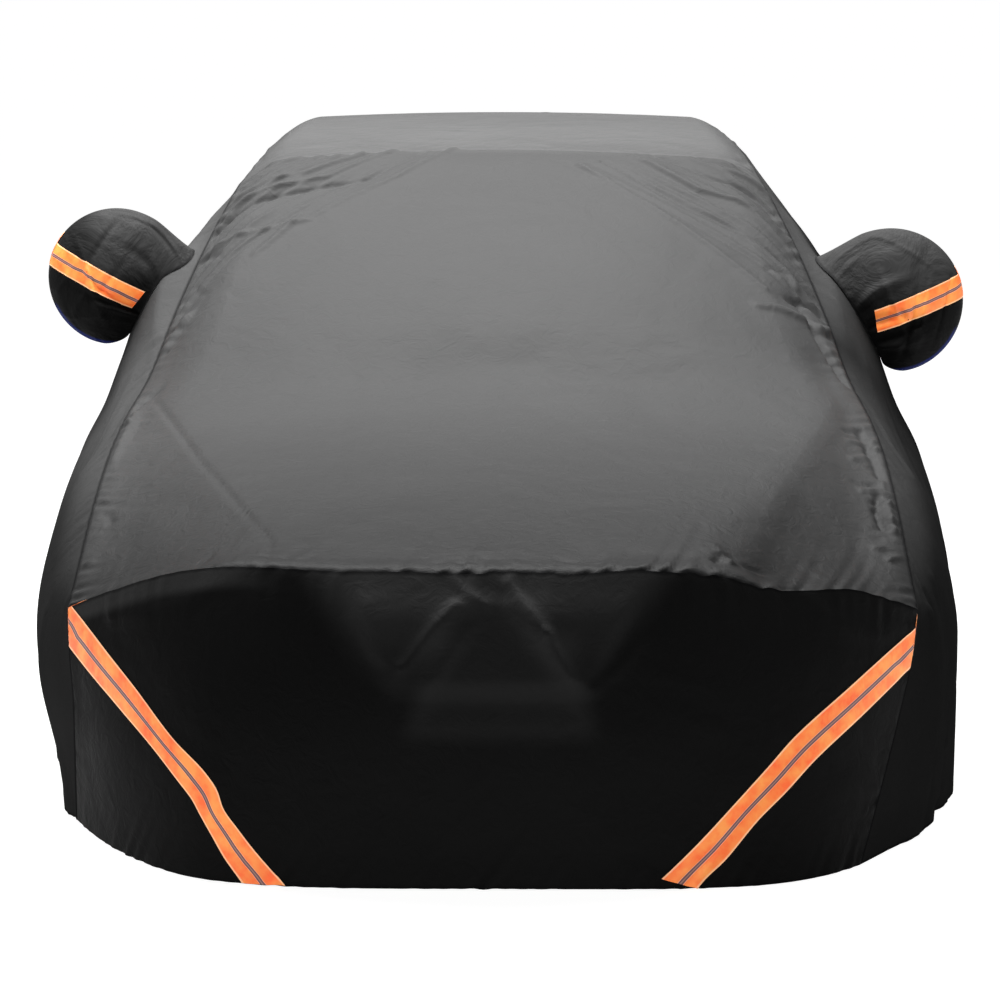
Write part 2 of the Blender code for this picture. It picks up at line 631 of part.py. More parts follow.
def pocket_rings(side):
    """Rings of a mirror pocket from the seam round its neck to its far end."""
    (_, _, _, _, radius, thick, _, _, forward, stand_off) = POCKETS[side]
    middle, outward, upward = pocket_frame(side)
    neck = neck_grid(side, 1.0, CLOTH + NECK_CLEAR)
    half_neck = np.max(np.abs((neck - middle) @ upward))
    start = math.asin(min(half_neck / radius, 0.95))
    centre = radius * math.cos(start)
    turns = np.arange(POCKET_TURNS) * 2 * math.pi / POCKET_TURNS
    rings = np.zeros((POCKET_RINGS, POCKET_TURNS, 3))
    for ring in range(POCKET_RINGS):
        reach = ring / (POCKET_RINGS - 1)
        angle = start + (math.pi - start) * reach
        height = stand_off + centre - radius * math.cos(angle)
        half = radius * math.sin(angle)
        swell = thick * math.sin(angle)**0.8
        bag = smooth_step(np.array(reach / 0.35))
        for number, turn in enumerate(turns):
            lens = math.copysign(abs(math.sin(turn))**1.35, math.sin(turn))
            wave = 1 + 0.05 * math.sin(3 * turn + 2.0) * (1 - reach)
            spot = (middle + outward * height + upward * half * math.cos(turn)
                    + np.array([0.0, -1.0, 0.0]) * swell * lens * wave)
            spot[1] -= forward * float(bag)
            blend = smooth_step(np.array(reach / 0.22))
            rings[ring, number] = neck[number] * (1 - blend) + spot * blend
    return rings


def tube_object(name, rings, material, target, caps):
    """Cylinder or open sphere primitive whose rings are moved to the given points."""
    count, turns = rings.shape[:2]
    mesh = bpy.data.meshes.new(name)
    shape = bmesh.new()
    if caps:
        bmesh.ops.create_cone(shape, cap_ends=True, segments=turns, radius1=1.0,
                              radius2=1.0, depth=2.0)
    else:
        bmesh.ops.create_uvsphere(shape, u_segments=turns, v_segments=count, radius=1.0)
        top = [vertex for vertex in shape.verts if vertex.co.z > 0.9999]
        bmesh.ops.delete(shape, geom=top, context="VERTS")
    for vertex in shape.verts:
        turn = math.atan2(vertex.co.y, vertex.co.x) / (2 * math.pi) * turns
        if caps:
            ring = 0 if vertex.co.z > 0 else count - 1
        else:
            ring = round(math.acos(max(-1.0, vertex.co.z)) / math.pi * count) - 1
        vertex.co = rings[ring, round(turn) % turns] - ORIGIN
    turn_outward(shape, rings.reshape(-1, 3).mean(axis=0) - ORIGIN)
    shape.to_mesh(mesh)
    shape.free()
    mesh.shade_smooth()
    item = bpy.data.objects.new(name, mesh)
    target.objects.link(item)
    if material is not None:
        mesh.materials.append(material)
    return item


# Reflective tapes across the front faces of the pockets, given in the same way
POCKET_STRIPS = {
    -1: [(-0.990, 1.030, -1.010, 0.985), (-0.760, 0.905, -0.790, 0.868)],
    +1: [(1.020, 0.960, 1.020, 0.905), (0.800, 0.868, 0.808, 0.820)],
}
RIM_MARGIN = 0.004       # how far a tape stops short of the rim where the faces meet
SIDE_NAMES = {-1: "left", +1: "right"}
for side, word in SIDE_NAMES.items():
    # Side panel, with the oval hole that opens into the pocket
    side_places = BODY_PLACES.copy()
    side_places[0] = CORNER_INSET / 0.235
    side_places[-1] = BODY - 1 - SEAM_INSET / 0.30
    side_levels = LEVELS.copy()
    side_levels[0] = SEAM_INSET / 1.0
    side_grid = np.meshgrid(side_places, side_levels, indexing="ij")
    panel = grid_object("side_panel_" + word, side_surface(side, *side_grid),
                        cloth_material("black_cloth_side_" + word, black_cloth, 0.45),
                        collection)
    thicken(panel, CLOTH)
    hole = np.stack([neck_grid(side, HOLE_SHARE, 0.02), neck_grid(side, HOLE_SHARE, -0.02)])
    cutter = tube_object("cutter_neck_" + word, hole, None, cutters, caps=True)
    cut(panel, cutter, "DIFFERENCE")

    # Mirror pocket: a rounded bag of two faces, open at its neck
    rings = pocket_rings(side)
    pocket = tube_object("mirror_pocket_" + word, rings,
                         cloth_material("black_cloth_pocket_" + word, black_cloth, 0.40),
                         collection, caps=False)
    thicken(pocket, CLOTH)

    # Its reflective tape
    strip = tube_object("pocket_strip_" + word, rings,
                        cloth_material("pocket_tape_" + word, orange_tape, 0.35),
                        collection, caps=False)
    thicken(strip, TAPE, tape_raise)
    faces_meet = rings[-1, 0, 1] - RIM_MARGIN
    cutter = strip_cutter("cutter_pocket_" + word, POCKET_STRIPS[side],
                          faces_meet - 0.1, 0.2)
    cut(strip, cutter, "INTERSECT")
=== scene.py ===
import math
import bpy
import numpy as np
from mathutils import Matrix, Vector
from mathutils.bvhtree import BVHTree


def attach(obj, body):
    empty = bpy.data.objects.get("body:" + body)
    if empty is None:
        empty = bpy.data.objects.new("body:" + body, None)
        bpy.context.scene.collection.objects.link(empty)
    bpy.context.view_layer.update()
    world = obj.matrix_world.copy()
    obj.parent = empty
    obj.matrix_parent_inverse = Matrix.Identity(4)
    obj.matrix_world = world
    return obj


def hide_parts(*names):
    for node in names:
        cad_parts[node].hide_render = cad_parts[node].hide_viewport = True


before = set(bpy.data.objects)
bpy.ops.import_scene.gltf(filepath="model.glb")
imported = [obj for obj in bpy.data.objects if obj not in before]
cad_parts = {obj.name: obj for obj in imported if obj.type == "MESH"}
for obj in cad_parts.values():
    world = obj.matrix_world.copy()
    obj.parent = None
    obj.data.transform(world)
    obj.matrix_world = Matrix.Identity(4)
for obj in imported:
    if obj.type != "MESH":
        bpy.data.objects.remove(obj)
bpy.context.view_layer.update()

# Studio: a plain white floor just under the hem, a large soft light overhead and a lower
# one behind, so that the cloth shines on top and stays dark in front, as in the picture.
# The camera stands ten metres away with a long lens, a little above the roof.
FLOOR_SIZE = 120.0
FLOOR_LEVEL = -1.2235
FLOOR_GREY = 0.35
FLOOR_GLOW = 0.95
AIR_GLOW = 0.15          # light from all round, apart from what the camera sees behind
SENSOR = 36.0            # mm
LENS = 154.8             # mm
CAMERA_PLACE = (0.107, -10.10, 0.659)
CAMERA_TILT = math.radians(8.85)
CAMERA_SWING = math.radians(0.67)
WHITE = (1.0, 1.0, 1.0, 1.0)


def add_node(tree, kind, settings=None, values=None, links=None):
    """Node with its settings, its socket values and the links that feed it, each from a
    socket or, where a node is given, from its first output."""
    node = tree.nodes.new(kind)
    for word, value in (settings or {}).items():
        setattr(node, word, value)
    for socket, value in (values or {}).items():
        node.inputs[socket].default_value = value
    for socket, source in (links or {}).items():
        tree.links.new(getattr(source, "outputs", [source])[0], node.inputs[socket])
    return node


bpy.ops.object.select_all(action="DESELECT")
bpy.ops.mesh.primitive_plane_add(size=FLOOR_SIZE, location=(0.0, 0.0, FLOOR_LEVEL))
floor = bpy.context.object
floor.name = "studio_floor"
bpy.ops.object.transform_apply(location=True, rotation=True, scale=True)
floor_paint = bpy.data.materials.new("studio_floor_paint")
floor_paint.use_nodes = True
floor_look = {"Base Color": (FLOOR_GREY, FLOOR_GREY, FLOOR_GREY, 1.0), "Roughness": 0.9,
              "Specular IOR Level": 0.0, "Emission Color": WHITE,
              "Emission Strength": FLOOR_GLOW}
for socket, value in floor_look.items():
    floor_paint.node_tree.nodes["Principled BSDF"].inputs[socket].default_value = value
floor.data.materials.append(floor_paint)


def soft_light(name, place, aim, width, length, watts):
    """Rectangular soft box that faces the point it is aimed at."""
    lamp = bpy.data.lights.new(name, "AREA")
    lamp.shape = "RECTANGLE"
    lamp.size = width
    lamp.size_y = length
    lamp.energy = watts
    holder = bpy.data.objects.new(name, lamp)
    bpy.context.scene.collection.objects.link(holder)
    turn = (Vector(aim) - Vector(place)).to_track_quat("-Z", "Y")
    holder.matrix_world = Matrix.Translation(place) @ turn.to_matrix().to_4x4()


soft_light("overhead_box", (-0.25, -0.9, 1.6), (-0.25, -0.9, 0.0), 3.6, 1.8, 330.0)
soft_light("rear_box", (0.0, 7.5, 1.9), (0.0, 0.0, 0.0), 5.0, 1.4, 70.0)
bpy.context.scene.view_settings.view_transform = "Standard"
world = bpy.data.worlds.new("studio_air")
bpy.context.scene.world = world
world.use_nodes = True
air = world.node_tree
glow = air.nodes["Background"]
glow.inputs["Color"].default_value = WHITE
glow.inputs["Strength"].default_value = AIR_GLOW
backdrop = add_node(air, "ShaderNodeBackground", None, {"Strength": 1.0})
ray = add_node(air, "ShaderNodeLightPath")
choose = add_node(air, "ShaderNodeMixShader", None, None,
                  {"Fac": ray.outputs["Is Camera Ray"], 1: glow.outputs["Background"],
                   2: backdrop.outputs["Background"]})
air.links.new(choose.outputs["Shader"], air.nodes["World Output"].inputs["Surface"])

camera_data = bpy.data.cameras.new("front_camera")
camera_data.sensor_width = SENSOR
camera_data.lens = LENS
camera_data.clip_end = 200.0
camera = bpy.data.objects.new("front_camera", camera_data)
bpy.context.scene.collection.objects.link(camera)
forward = Vector((-math.sin(CAMERA_SWING) * math.cos(CAMERA_TILT),
                  math.cos(CAMERA_SWING) * math.cos(CAMERA_TILT), -math.sin(CAMERA_TILT)))
rightward = Vector((math.cos(CAMERA_SWING), math.sin(CAMERA_SWING), 0.0))
pose = Matrix((rightward, rightward.cross(forward), -forward)).transposed().to_4x4()
pose.translation = Vector(CAMERA_PLACE)
camera.matrix_world = pose
bpy.context.scene.camera = camera


# Upper panel: one run of coated taffeta over hood, glass, roof and trunk, down to the rear
# hem, sewn to the side panels along both seams. Its shape follows cross sections that
# stand one behind the other, and its folds and creases are laid on that.

# Level of the four rails of a side panel, as a fraction of the way down it
RAIL_LEVELS = (0.0, 0.28, 0.60, 1.0)

# Sections of the cover from the front to the back, in metres from the front hem.
# mid: the cloth on the centre line. shoulder: where the flat top bends, and how far it
# has dropped there. seam: upper edge of the side panel. belt, wide, hem: the side below
# it, where there is one.
SECTION_COLUMNS = ("name", "mid_y", "mid_z", "shoulder_x", "shoulder_drop",
                   "seam_x", "seam_y", "seam_z", "belt_x", "belt_z",
                   "wide_x", "wide_z", "hem_left", "hem_right", "hem_z")
SECTIONS = [
    ("hood edge",   0.11, 0.562, 0.45, 0.002, 0.798, 0.45, 0.436, 0, 0, 0, 0, 0, 0, 0),
    ("hood front",  0.34, 0.612, 0.44, 0.010, 0.792, 0.58, 0.490,
     0.838, 0.420, 0.858, 0.28, 0.818, 0.848, 0.000),
    ("hood middle", 0.62, 0.668, 0.51, 0.016, 0.786, 0.78, 0.565,
     0.858, 0.490, 0.900, 0.31, 0.853, 0.892, 0.000),
    ("hood rear",   0.88, 0.718, 0.59, 0.022, 0.777, 1.00, 0.636,
     0.862, 0.545, 0.918, 0.34, 0.882, 0.920, 0.000),
    ("cowl",        1.08, 0.772, 0.63, 0.036, 0.760, 1.18, 0.692,
     0.852, 0.590, 0.920, 0.39, 0.898, 0.922, 0.004),
    ("glass foot",  1.28, 0.890, 0.59, 0.062, 0.728, 1.36, 0.752,
     0.832, 0.655, 0.920, 0.43, 0.902, 0.918, 0.008),
    ("glass",       1.54, 1.026, 0.55, 0.058, 0.690, 1.57, 0.862,
     0.820, 0.715, 0.920, 0.45, 0.902, 0.910, 0.010),
    ("glass top",   1.76, 1.126, 0.51, 0.040, 0.632, 1.74, 1.000,
     0.806, 0.775, 0.920, 0.46, 0.902, 0.906, 0.010),
    ("header",      1.91, 1.186, 0.47, 0.016, 0.578, 1.90, 1.106,
     0.800, 0.770, 0.920, 0.46, 0.902, 0.904, 0.010),
    ("roof front",  2.20, 1.212, 0.46, 0.010, 0.564, 2.20, 1.128,
     0.800, 0.765, 0.920, 0.46, 0.902, 0.902, 0.010),
    ("roof peak",   2.60, 1.222, 0.44, 0.010, 0.552, 2.60, 1.142,
     0.808, 0.765, 0.920, 0.41, 0.902, 0.902, 0.010),
    ("roof rear",   3.08, 1.190, 0.43, 0.012, 0.556, 3.04, 1.112,
     0.808, 0.765, 0.920, 0.41, 0.902, 0.902, 0.010),
    ("back glass",  3.40, 1.132, 0.43, 0.020, 0.590, 3.36, 1.034,
     0.812, 0.762, 0.918, 0.41, 0.900, 0.900, 0.010),
    ("back foot",   3.90, 0.930, 0.48, 0.026, 0.680, 3.84, 0.850,
     0.828, 0.735, 0.912, 0.42, 0.892, 0.892, 0.010),
    ("trunk",       4.15, 0.872, 0.54, 0.022, 0.712, 4.06, 0.796,
     0.828, 0.700, 0.896, 0.42, 0.874, 0.874, 0.012),
    ("trunk lip",   4.46, 0.846, 0.56, 0.020, 0.742, 4.30, 0.762, 0, 0, 0, 0, 0, 0, 0),
    ("rear top",    4.56, 0.752, 0.56, 0.014, 0.778, 4.36, 0.640, 0, 0, 0, 0, 0, 0, 0),
    ("rear middle", 4.62, 0.450, 0.56, 0.008, 0.812, 4.36, 0.390, 0, 0, 0, 0, 0, 0, 0),
    ("rear hem",    4.58, 0.012, 0.56, 0.000, 0.802, 4.27, 0.012, 0, 0, 0, 0, 0, 0, 0),
]
BODY = 16                # sections that carry a side panel
SWEEP_POWER = 2.6        # how late the cloth sweeps back towards the seam
FALL_POWER = 1.7         # how late it falls away outside the shoulder

# Seam between front and side panel, below the hood edge: x, y, z at the rail levels
FRONT_CORNER = {
    -1: ((0.797, 0.450, 0.355), (0.791, 0.462, 0.240), (0.800, 0.565, 0.000)),
    +1: ((0.787, 0.424, 0.355), (0.757, 0.378, 0.235), (0.680, 0.222, 0.000)),
}

ROOF = SECTIONS[10]
CLOTH = 0.002
ORIGIN = np.array([0.0, ROOF[1], ROOF[2] - CLOTH / 2])


def column(name):
    """One named column of the section table."""
    place = SECTION_COLUMNS.index(name)
    return np.array([row[place] for row in SECTIONS], dtype=float)


def spline(knots, values, at):
    """Smooth curve through the values at the knots, with no overshoot between them."""
    knots = np.asarray(knots, dtype=float)
    values = np.asarray(values, dtype=float)
    at = np.clip(np.asarray(at, dtype=float), knots[0], knots[-1])
    step = np.diff(knots)
    shape = (-1,) + (1,) * (values.ndim - 1)
    width = step.reshape(shape)
    rise = np.diff(values, axis=0) / width
    slope = np.zeros_like(values)
    before = rise[:-1]
    after = rise[1:]
    same = before * after > 0
    safe_before = np.where(same, before, 1.0)
    safe_after = np.where(same, after, 1.0)
    weight_a = 2 * width[1:] + width[:-1]
    weight_b = width[1:] + 2 * width[:-1]
    mean = (weight_a + weight_b) / (weight_a / safe_before + weight_b / safe_after)
    slope[1:-1] = np.where(same, mean, 0.0)
    slope[0] = 1.5 * rise[0] - 0.5 * slope[1]
    slope[-1] = 1.5 * rise[-1] - 0.5 * slope[-2]
    cell = np.clip(np.searchsorted(knots, at, side="right") - 1, 0, len(step) - 1)
    frac = (at - knots[cell]) / step[cell]
    grow = cell.shape + (1,) * (values.ndim - 1)
    f = frac.reshape(grow)
    h = step[cell].reshape(grow)
    return (values[cell] * (2 * f**3 - 3 * f**2 + 1)
            + slope[cell] * h * (f**3 - 2 * f**2 + f)
            + values[cell + 1] * (3 * f**2 - 2 * f**3)
            + slope[cell + 1] * h * (f**3 - f**2))


def smooth_step(x):
    """Smooth rise from 0 to 1 while x runs from 0 to 1."""
    x = np.clip(x, 0.0, 1.0)
    return x * x * (3 - 2 * x)


MID = np.stack([column("mid_y"), column("mid_z")], axis=1)
STATIONS = np.concatenate([[0.0], np.cumsum(np.linalg.norm(np.diff(MID, axis=0), axis=1))])
INDEX = np.arange(len(SECTIONS), dtype=float)


def station(place):
    """Distance along the centre line for a section number, which may be a fraction."""
    return np.interp(place, INDEX, STATIONS)


def side_rails(side):
    """Seam, belt, widest line and hem of one side panel at each body section."""
    seam_y = column("seam_y")
    hem = column("hem_left") if side < 0 else column("hem_right")
    rails = np.stack([
        np.stack([column("seam_x"), seam_y, column("seam_z")], axis=1),
        np.stack([column("belt_x"), seam_y, column("belt_z")], axis=1),
        np.stack([column("wide_x"), seam_y, column("wide_z")], axis=1),
        np.stack([hem, seam_y, column("hem_z")], axis=1),
    ])
    rails[1:, 0] = FRONT_CORNER[side]
    rails[1:, BODY - 1] = rails[0, BODY:BODY + 3]
    return rails[:, :BODY]


RAILS = {side: side_rails(side) for side in (-1, 1)}


def side_base(side, place, level):
    """Side panel before its folds; place is a section number, level runs 0 to 1 down."""
    place, level = np.broadcast_arrays(np.asarray(place, float), np.asarray(level, float))
    flat_place = place.ravel()
    flat_level = level.ravel()
    rails = np.stack([spline(STATIONS[:BODY], rail, station(flat_place))
                      for rail in RAILS[side]])
    points = np.zeros((flat_place.size, 3))
    for cut in np.unique(flat_level):
        rows = flat_level == cut
        points[rows] = spline(RAIL_LEVELS, rails[:, rows], cut)
    points[:, 0] *= side
    return points.reshape(place.shape + (3,))


def seam_point(side, place):
    """Edge of the upper panel: along the side, then down the rear corner."""
    place = np.asarray(place, dtype=float)
    body = side_base(side, np.minimum(place, BODY - 1.0), 0.0)
    drop = np.interp(place, INDEX[BODY - 1:], RAIL_LEVELS)
    corner = side_base(side, BODY - 1.0, drop)
    return np.where((place > BODY - 1)[..., None], corner, body)


def top_base(across, place):
    """Upper panel before its folds; across runs -1 to 1 from seam to seam."""
    across, place = np.broadcast_arrays(np.asarray(across, float), np.asarray(place, float))
    along = station(place)
    mid = spline(STATIONS, MID, along)
    edge = np.where((across < 0)[..., None], seam_point(-1, place), seam_point(1, place))
    reach = np.abs(across)
    bend = spline(STATIONS, column("shoulder_x"), along) / np.abs(edge[..., 0])
    dip = spline(STATIONS, column("shoulder_drop"), along)
    drop = mid[..., 1] - edge[..., 2]
    points = np.zeros(across.shape + (3,))
    points[..., 0] = edge[..., 0] * reach
    points[..., 1] = mid[..., 0] + (edge[..., 1] - mid[..., 0]) * reach**SWEEP_POWER
    inner = dip / bend**2
    slope = 2 * dip / bend
    outer = np.maximum(reach - bend, 0.0)
    span = 1 - bend
    rest = drop - dip - slope * span
    falling = dip + slope * outer + rest * (outer / span)**FALL_POWER
    points[..., 2] = mid[..., 1] - np.where(reach < bend, inner * reach**2, falling)
    return points


def hump(values, size):
    """Soft hump of the given half width."""
    return np.exp(-(values / size)**2)


# A fold is one row: its name; its start, its bend and its end, each as a place a, b; its
# height at the start and at the end, where a negative height is a trough; its half width.
def fold_field(first, second, folds):
    """Height of all folds at points given by two coordinates."""
    total = np.zeros(np.shape(first))
    for (_, a0, b0, a1, b1, a2, b2, start, end, half_width) in folds:
        best = np.full(np.shape(first), np.inf)
        height = np.zeros(np.shape(first))
        for (pa, pb, qa, qb, near, far) in ((a0, b0, a1, b1, 0.0, 0.5),
                                            (a1, b1, a2, b2, 0.5, 1.0)):
            run_a = qa - pa
            run_b = qb - pb
            share = ((first - pa) * run_a + (second - pb) * run_b) / (run_a**2 + run_b**2)
            share = np.clip(share, 0.0, 1.0)
            away = np.hypot(first - pa - share * run_a, second - pb - share * run_b)
            along = near + (far - near) * share
            closer = away < best
            best = np.where(closer, away, best)
            height = np.where(closer, start + (end - start) * along, height)
        total += height * hump(best, half_width)
    return total


# Folds of the upper panel; a is across (x), b is along (y), in metres from the front
TOP_FOLDS = [
    ("left upper",      -0.23, 1.91, -0.37, 1.82, -0.61, 1.76, 0.006, 0.012, 0.024),
    ("left middle",     -0.16, 1.91, -0.34, 1.78, -0.62, 1.73, -0.004, -0.010, 0.022),
    ("left lower",      -0.10, 1.91, -0.31, 1.74, -0.62, 1.70, 0.006, 0.013, 0.026),
    ("left short",      -0.43, 1.68, -0.48, 1.63, -0.53, 1.58, 0.007, 0.004, 0.022),
    ("left pocket",     -0.64, 1.52, -0.66, 1.50, -0.70, 1.42, -0.012, -0.006, 0.030),
    ("right long",      0.17, 1.85, 0.35, 1.68, 0.56, 1.49, 0.006, 0.012, 0.024),
    ("right middle",    0.28, 1.89, 0.43, 1.78, 0.61, 1.70, 0.005, 0.012, 0.023),
    ("right hollow",    0.24, 1.86, 0.42, 1.73, 0.59, 1.62, -0.004, -0.010, 0.024),
    ("right upper",     0.41, 1.89, 0.49, 1.85, 0.55, 1.84, 0.005, 0.010, 0.022),
    ("right gather",    0.60, 1.50, 0.64, 1.54, 0.69, 1.55, -0.010, -0.008, 0.026),
    ("right fender",    0.66, 1.34, 0.70, 1.20, 0.72, 1.05, -0.014, -0.004, 0.030),
    ("left fender",     -0.74, 1.22, -0.71, 1.24, -0.67, 1.30, -0.010, -0.003, 0.026),
    ("back left",       -0.36, 3.30, -0.48, 3.45, -0.58, 3.68, 0.006, 0.011, 0.030),
    ("back right",      0.30, 3.28, 0.45, 3.45, 0.58, 3.75, 0.006, 0.011, 0.030),
    ("trunk left",      -0.35, 3.95, -0.50, 4.10, -0.64, 4.36, 0.004, 0.010, 0.034),
    ("trunk right",     0.42, 3.92, 0.52, 4.12, 0.66, 4.38, 0.004, 0.010, 0.034),
]

# The right half of the hood hangs lower than the left along its front edge
SAG_DEPTH = 0.038
SAG_MIDDLE = 0.50        # x of the lowest place at the hood edge
SAG_SLANT = 0.035        # how far outwards it moves from one section to the next
SAG_INNER = 0.090
SAG_OUTER = 0.150
SAG_REACH = 2.6          # sections over which it runs out


def hood_sag(points, place):
    """How far the cloth drops beside the right hood crease."""
    crease = SAG_MIDDLE + SAG_SLANT * place
    size = np.where(points[..., 0] < crease, SAG_INNER, SAG_OUTER)
    depth = SAG_DEPTH * (1 - smooth_step(place / SAG_REACH))
    edge = smooth_step((0.80 - points[..., 0]) / 0.10)
    return depth * hump(points[..., 0] - crease, size) * edge


def along_edges(points):
    """Distance of each grid point along its row and along its column, in metres."""
    across = np.linalg.norm(np.diff(points, axis=0), axis=-1)
    down = np.linalg.norm(np.diff(points, axis=1), axis=-1)
    first = np.zeros(points.shape[:2])
    second = np.zeros(points.shape[:2])
    first[1:] = np.cumsum(across, axis=0)
    second[:, 1:] = np.cumsum(down, axis=1)
    return first, second


def surface_normals(points):
    """Unit normals of a grid of points."""
    first = np.gradient(points, axis=0)
    second = np.gradient(points, axis=1)
    normal = np.cross(first, second)
    return normal / np.linalg.norm(normal, axis=-1, keepdims=True)


def crease_fan(name, starts, ends, count, height, half_width, seed):
    """Sharp creases fanned out between two short runs of places, a little uneven."""
    chance = np.random.default_rng(seed)
    starts = np.array(starts)
    ends = np.array(ends)
    rows = []
    for number in range(count):
        share = (number + chance.uniform(0.1, 0.9, 2)) / count
        start = starts[0] + (starts[1] - starts[0]) * share[0]
        end = ends[0] + (ends[1] - ends[0]) * share[1]
        bend = (start + end) / 2 + chance.uniform(-0.05, 0.05) * np.abs(end - start)[::-1]
        tall = height * chance.uniform(0.45, 1.0) * (1.0 if number % 2 else -0.8)
        rows.append((name, *start, *bend, *end, 0.45 * tall, tall,
                     half_width * chance.uniform(0.75, 1.25)))
    return rows


def crumples(name, middle, spread, count, length, height, half_width, seed):
    """Short sharp creases that point all ways round one place."""
    chance = np.random.default_rng(seed)
    rows = []
    for number in range(count):
        spot = np.array(middle) + np.array(spread) * chance.uniform(-1, 1, 2)
        turn = chance.uniform(0, math.pi)
        half = 0.5 * length * chance.uniform(0.5, 1.0)
        run = np.array([math.cos(turn), math.sin(turn)]) * half
        bend = spot + chance.uniform(-0.25, 0.25, 2) * half
        tall = height * chance.uniform(0.5, 1.0) * (1.0 if number % 2 else -0.8)
        rows.append((name, *(spot - run), *bend, *(spot + run), tall, 0.4 * tall,
                     half_width * chance.uniform(0.8, 1.2)))
    return rows


# Sharp creases of the upper panel, in the same columns as its folds. They run from the
# top corners of the glass down to the pillars, and crumple beside the mirrors and seams.
TOP_CREASES = [
    ("left one",     -0.228, 1.913, -0.371, 1.815, -0.660, 1.765, 0.005, 0.007, 0.006),
    ("left two",     -0.160, 1.915, -0.290, 1.800, -0.660, 1.735, -0.005, -0.006, 0.006),
    ("left three",   -0.101, 1.917, -0.218, 1.807, -0.420, 1.668, 0.006, 0.003, 0.006),
    ("left four",    -0.405, 1.668, -0.520, 1.660, -0.670, 1.690, 0.003, 0.006, 0.006),
    ("left five",    -0.300, 1.900, -0.420, 1.835, -0.640, 1.800, 0.005, 0.006, 0.006),
    ("left seven",   -0.429, 1.682, -0.475, 1.630, -0.519, 1.585, 0.008, 0.004, 0.008),
    ("left nick",    -0.652, 1.685, -0.630, 1.670, -0.600, 1.640, -0.006, -0.003, 0.008),
    ("right one",    0.170, 1.842, 0.351, 1.675, 0.559, 1.487, 0.006, 0.004, 0.006),
    ("right two",    0.220, 1.865, 0.400, 1.715, 0.680, 1.580, -0.005, -0.007, 0.006),
    ("right three",  0.282, 1.889, 0.429, 1.779, 0.660, 1.706, 0.006, 0.009, 0.007),
    ("right four",   0.330, 1.900, 0.460, 1.820, 0.650, 1.770, -0.005, -0.008, 0.006),
    ("right five",   0.412, 1.889, 0.487, 1.853, 0.620, 1.840, 0.005, 0.009, 0.007),
    ("right six",    0.611, 1.496, 0.650, 1.540, 0.694, 1.554, -0.009, -0.013, 0.010),
    ("right seven",  0.540, 1.430, 0.620, 1.450, 0.690, 1.500, 0.006, 0.010, 0.010),
    ("right eight",  0.640, 1.500, 0.680, 1.420, 0.725, 1.330, -0.014, -0.018, 0.012),
    ("header",       -0.500, 1.895, 0.000, 1.915, 0.500, 1.895, 0.004, 0.004, 0.010),
    ("left sail",    -0.659, 1.488, -0.690, 1.455, -0.713, 1.424, 0.010, 0.005, 0.014),
    ("left corner",  -0.756, 1.208, -0.735, 1.230, -0.700, 1.250, -0.013, -0.004, 0.012),
    ("left shine",   -0.770, 0.980, -0.752, 1.080, -0.742, 1.180, 0.009, 0.006, 0.014),
    ("right flap",   0.772, 0.800, 0.764, 0.740, 0.776, 0.690, 0.010, 0.012, 0.013),
    ("flap shadow",  0.748, 0.810, 0.740, 0.750, 0.750, 0.690, -0.008, -0.010, 0.008),
    ("right tuck",   0.735, 1.100, 0.748, 1.000, 0.762, 0.910, -0.008, -0.010, 0.012),
]
TOP_CREASES += crease_fan("left fan", [(-0.12, 1.91), (-0.48, 1.90)],
                          [(-0.70, 1.50), (-0.61, 1.86)], 15, 0.0050, 0.0055, 3)
TOP_CREASES += crease_fan("right fan", [(0.14, 1.84), (0.50, 1.89)],
                          [(0.70, 1.46), (0.60, 1.86)], 15, 0.0055, 0.0055, 8)
# Crumples: name, middle, spread, count, length, height, half width, seed
TOP_CRUMPLES = [
    ("right mirror", (0.660, 1.500), (0.05, 0.09), 9, 0.09, 0.006, 0.007, 5),
    ("right seam", (0.748, 0.820), (0.03, 0.28), 18, 0.07, 0.007, 0.006, 6),
    ("left mirror", (-0.670, 1.500), (0.04, 0.10), 7, 0.08, 0.004, 0.007, 7),
    ("left seam", (-0.765, 0.860), (0.02, 0.34), 9, 0.07, 0.004, 0.007, 9),
    ("hood left", (-0.440, 0.210), (0.12, 0.05), 7, 0.08, 0.006, 0.007, 11),
    ("hood middle", (0.060, 0.140), (0.20, 0.02), 9, 0.05, 0.006, 0.006, 14),
    ("hood right", (0.560, 0.230), (0.16, 0.05), 16, 0.07, 0.008, 0.007, 12),
    ("roof sides", (0.00, 2.70), (0.46, 0.60), 10, 0.20, 0.0025, 0.010, 53),
    ("back glass", (0.00, 3.80), (0.52, 0.40), 22, 0.20, 0.0045, 0.009, 54),
]
for row in TOP_CRUMPLES:
    TOP_CREASES += crumples(*row)

# The hood stands up between two long creases; the cloth falls away outside them. Each is
# a run of places in plan from the glass down to the hood edge, its slope and its groove.
HOOD_CREASES = {
    -1: ([(-0.765, 1.400), (-0.672, 1.117), (-0.575, 0.792), (-0.489, 0.544),
          (-0.405, 0.300)], 0.17, 0.0040),
    +1: ([(0.765, 1.460), (0.700, 1.210), (0.657, 1.014), (0.536, 0.574),
          (0.460, 0.230)], 0.34, 0.0020),
}
HOOD_BACK = 1.45         # y where the creases run out under the glass
HOOD_FRONT = 0.16        # and at the hood edge
CREASE_REACH = 0.08      # over which the cloth drops outside a crease
GROOVE_WIDTH = 0.007


def crease_distance(side, points):
    """How far a point lies outside the hood crease of one side, in plan."""
    path = np.array(HOOD_CREASES[side][0])[::-1]
    crease = np.interp(points[..., 1], path[:, 1], path[:, 0])
    return (points[..., 0] - crease) * side


def over_hood(y):
    """1 along the hood creases, fading to 0 at both their ends."""
    return smooth_step((HOOD_BACK - y) / 0.30) * smooth_step((y - HOOD_FRONT) / 0.12)


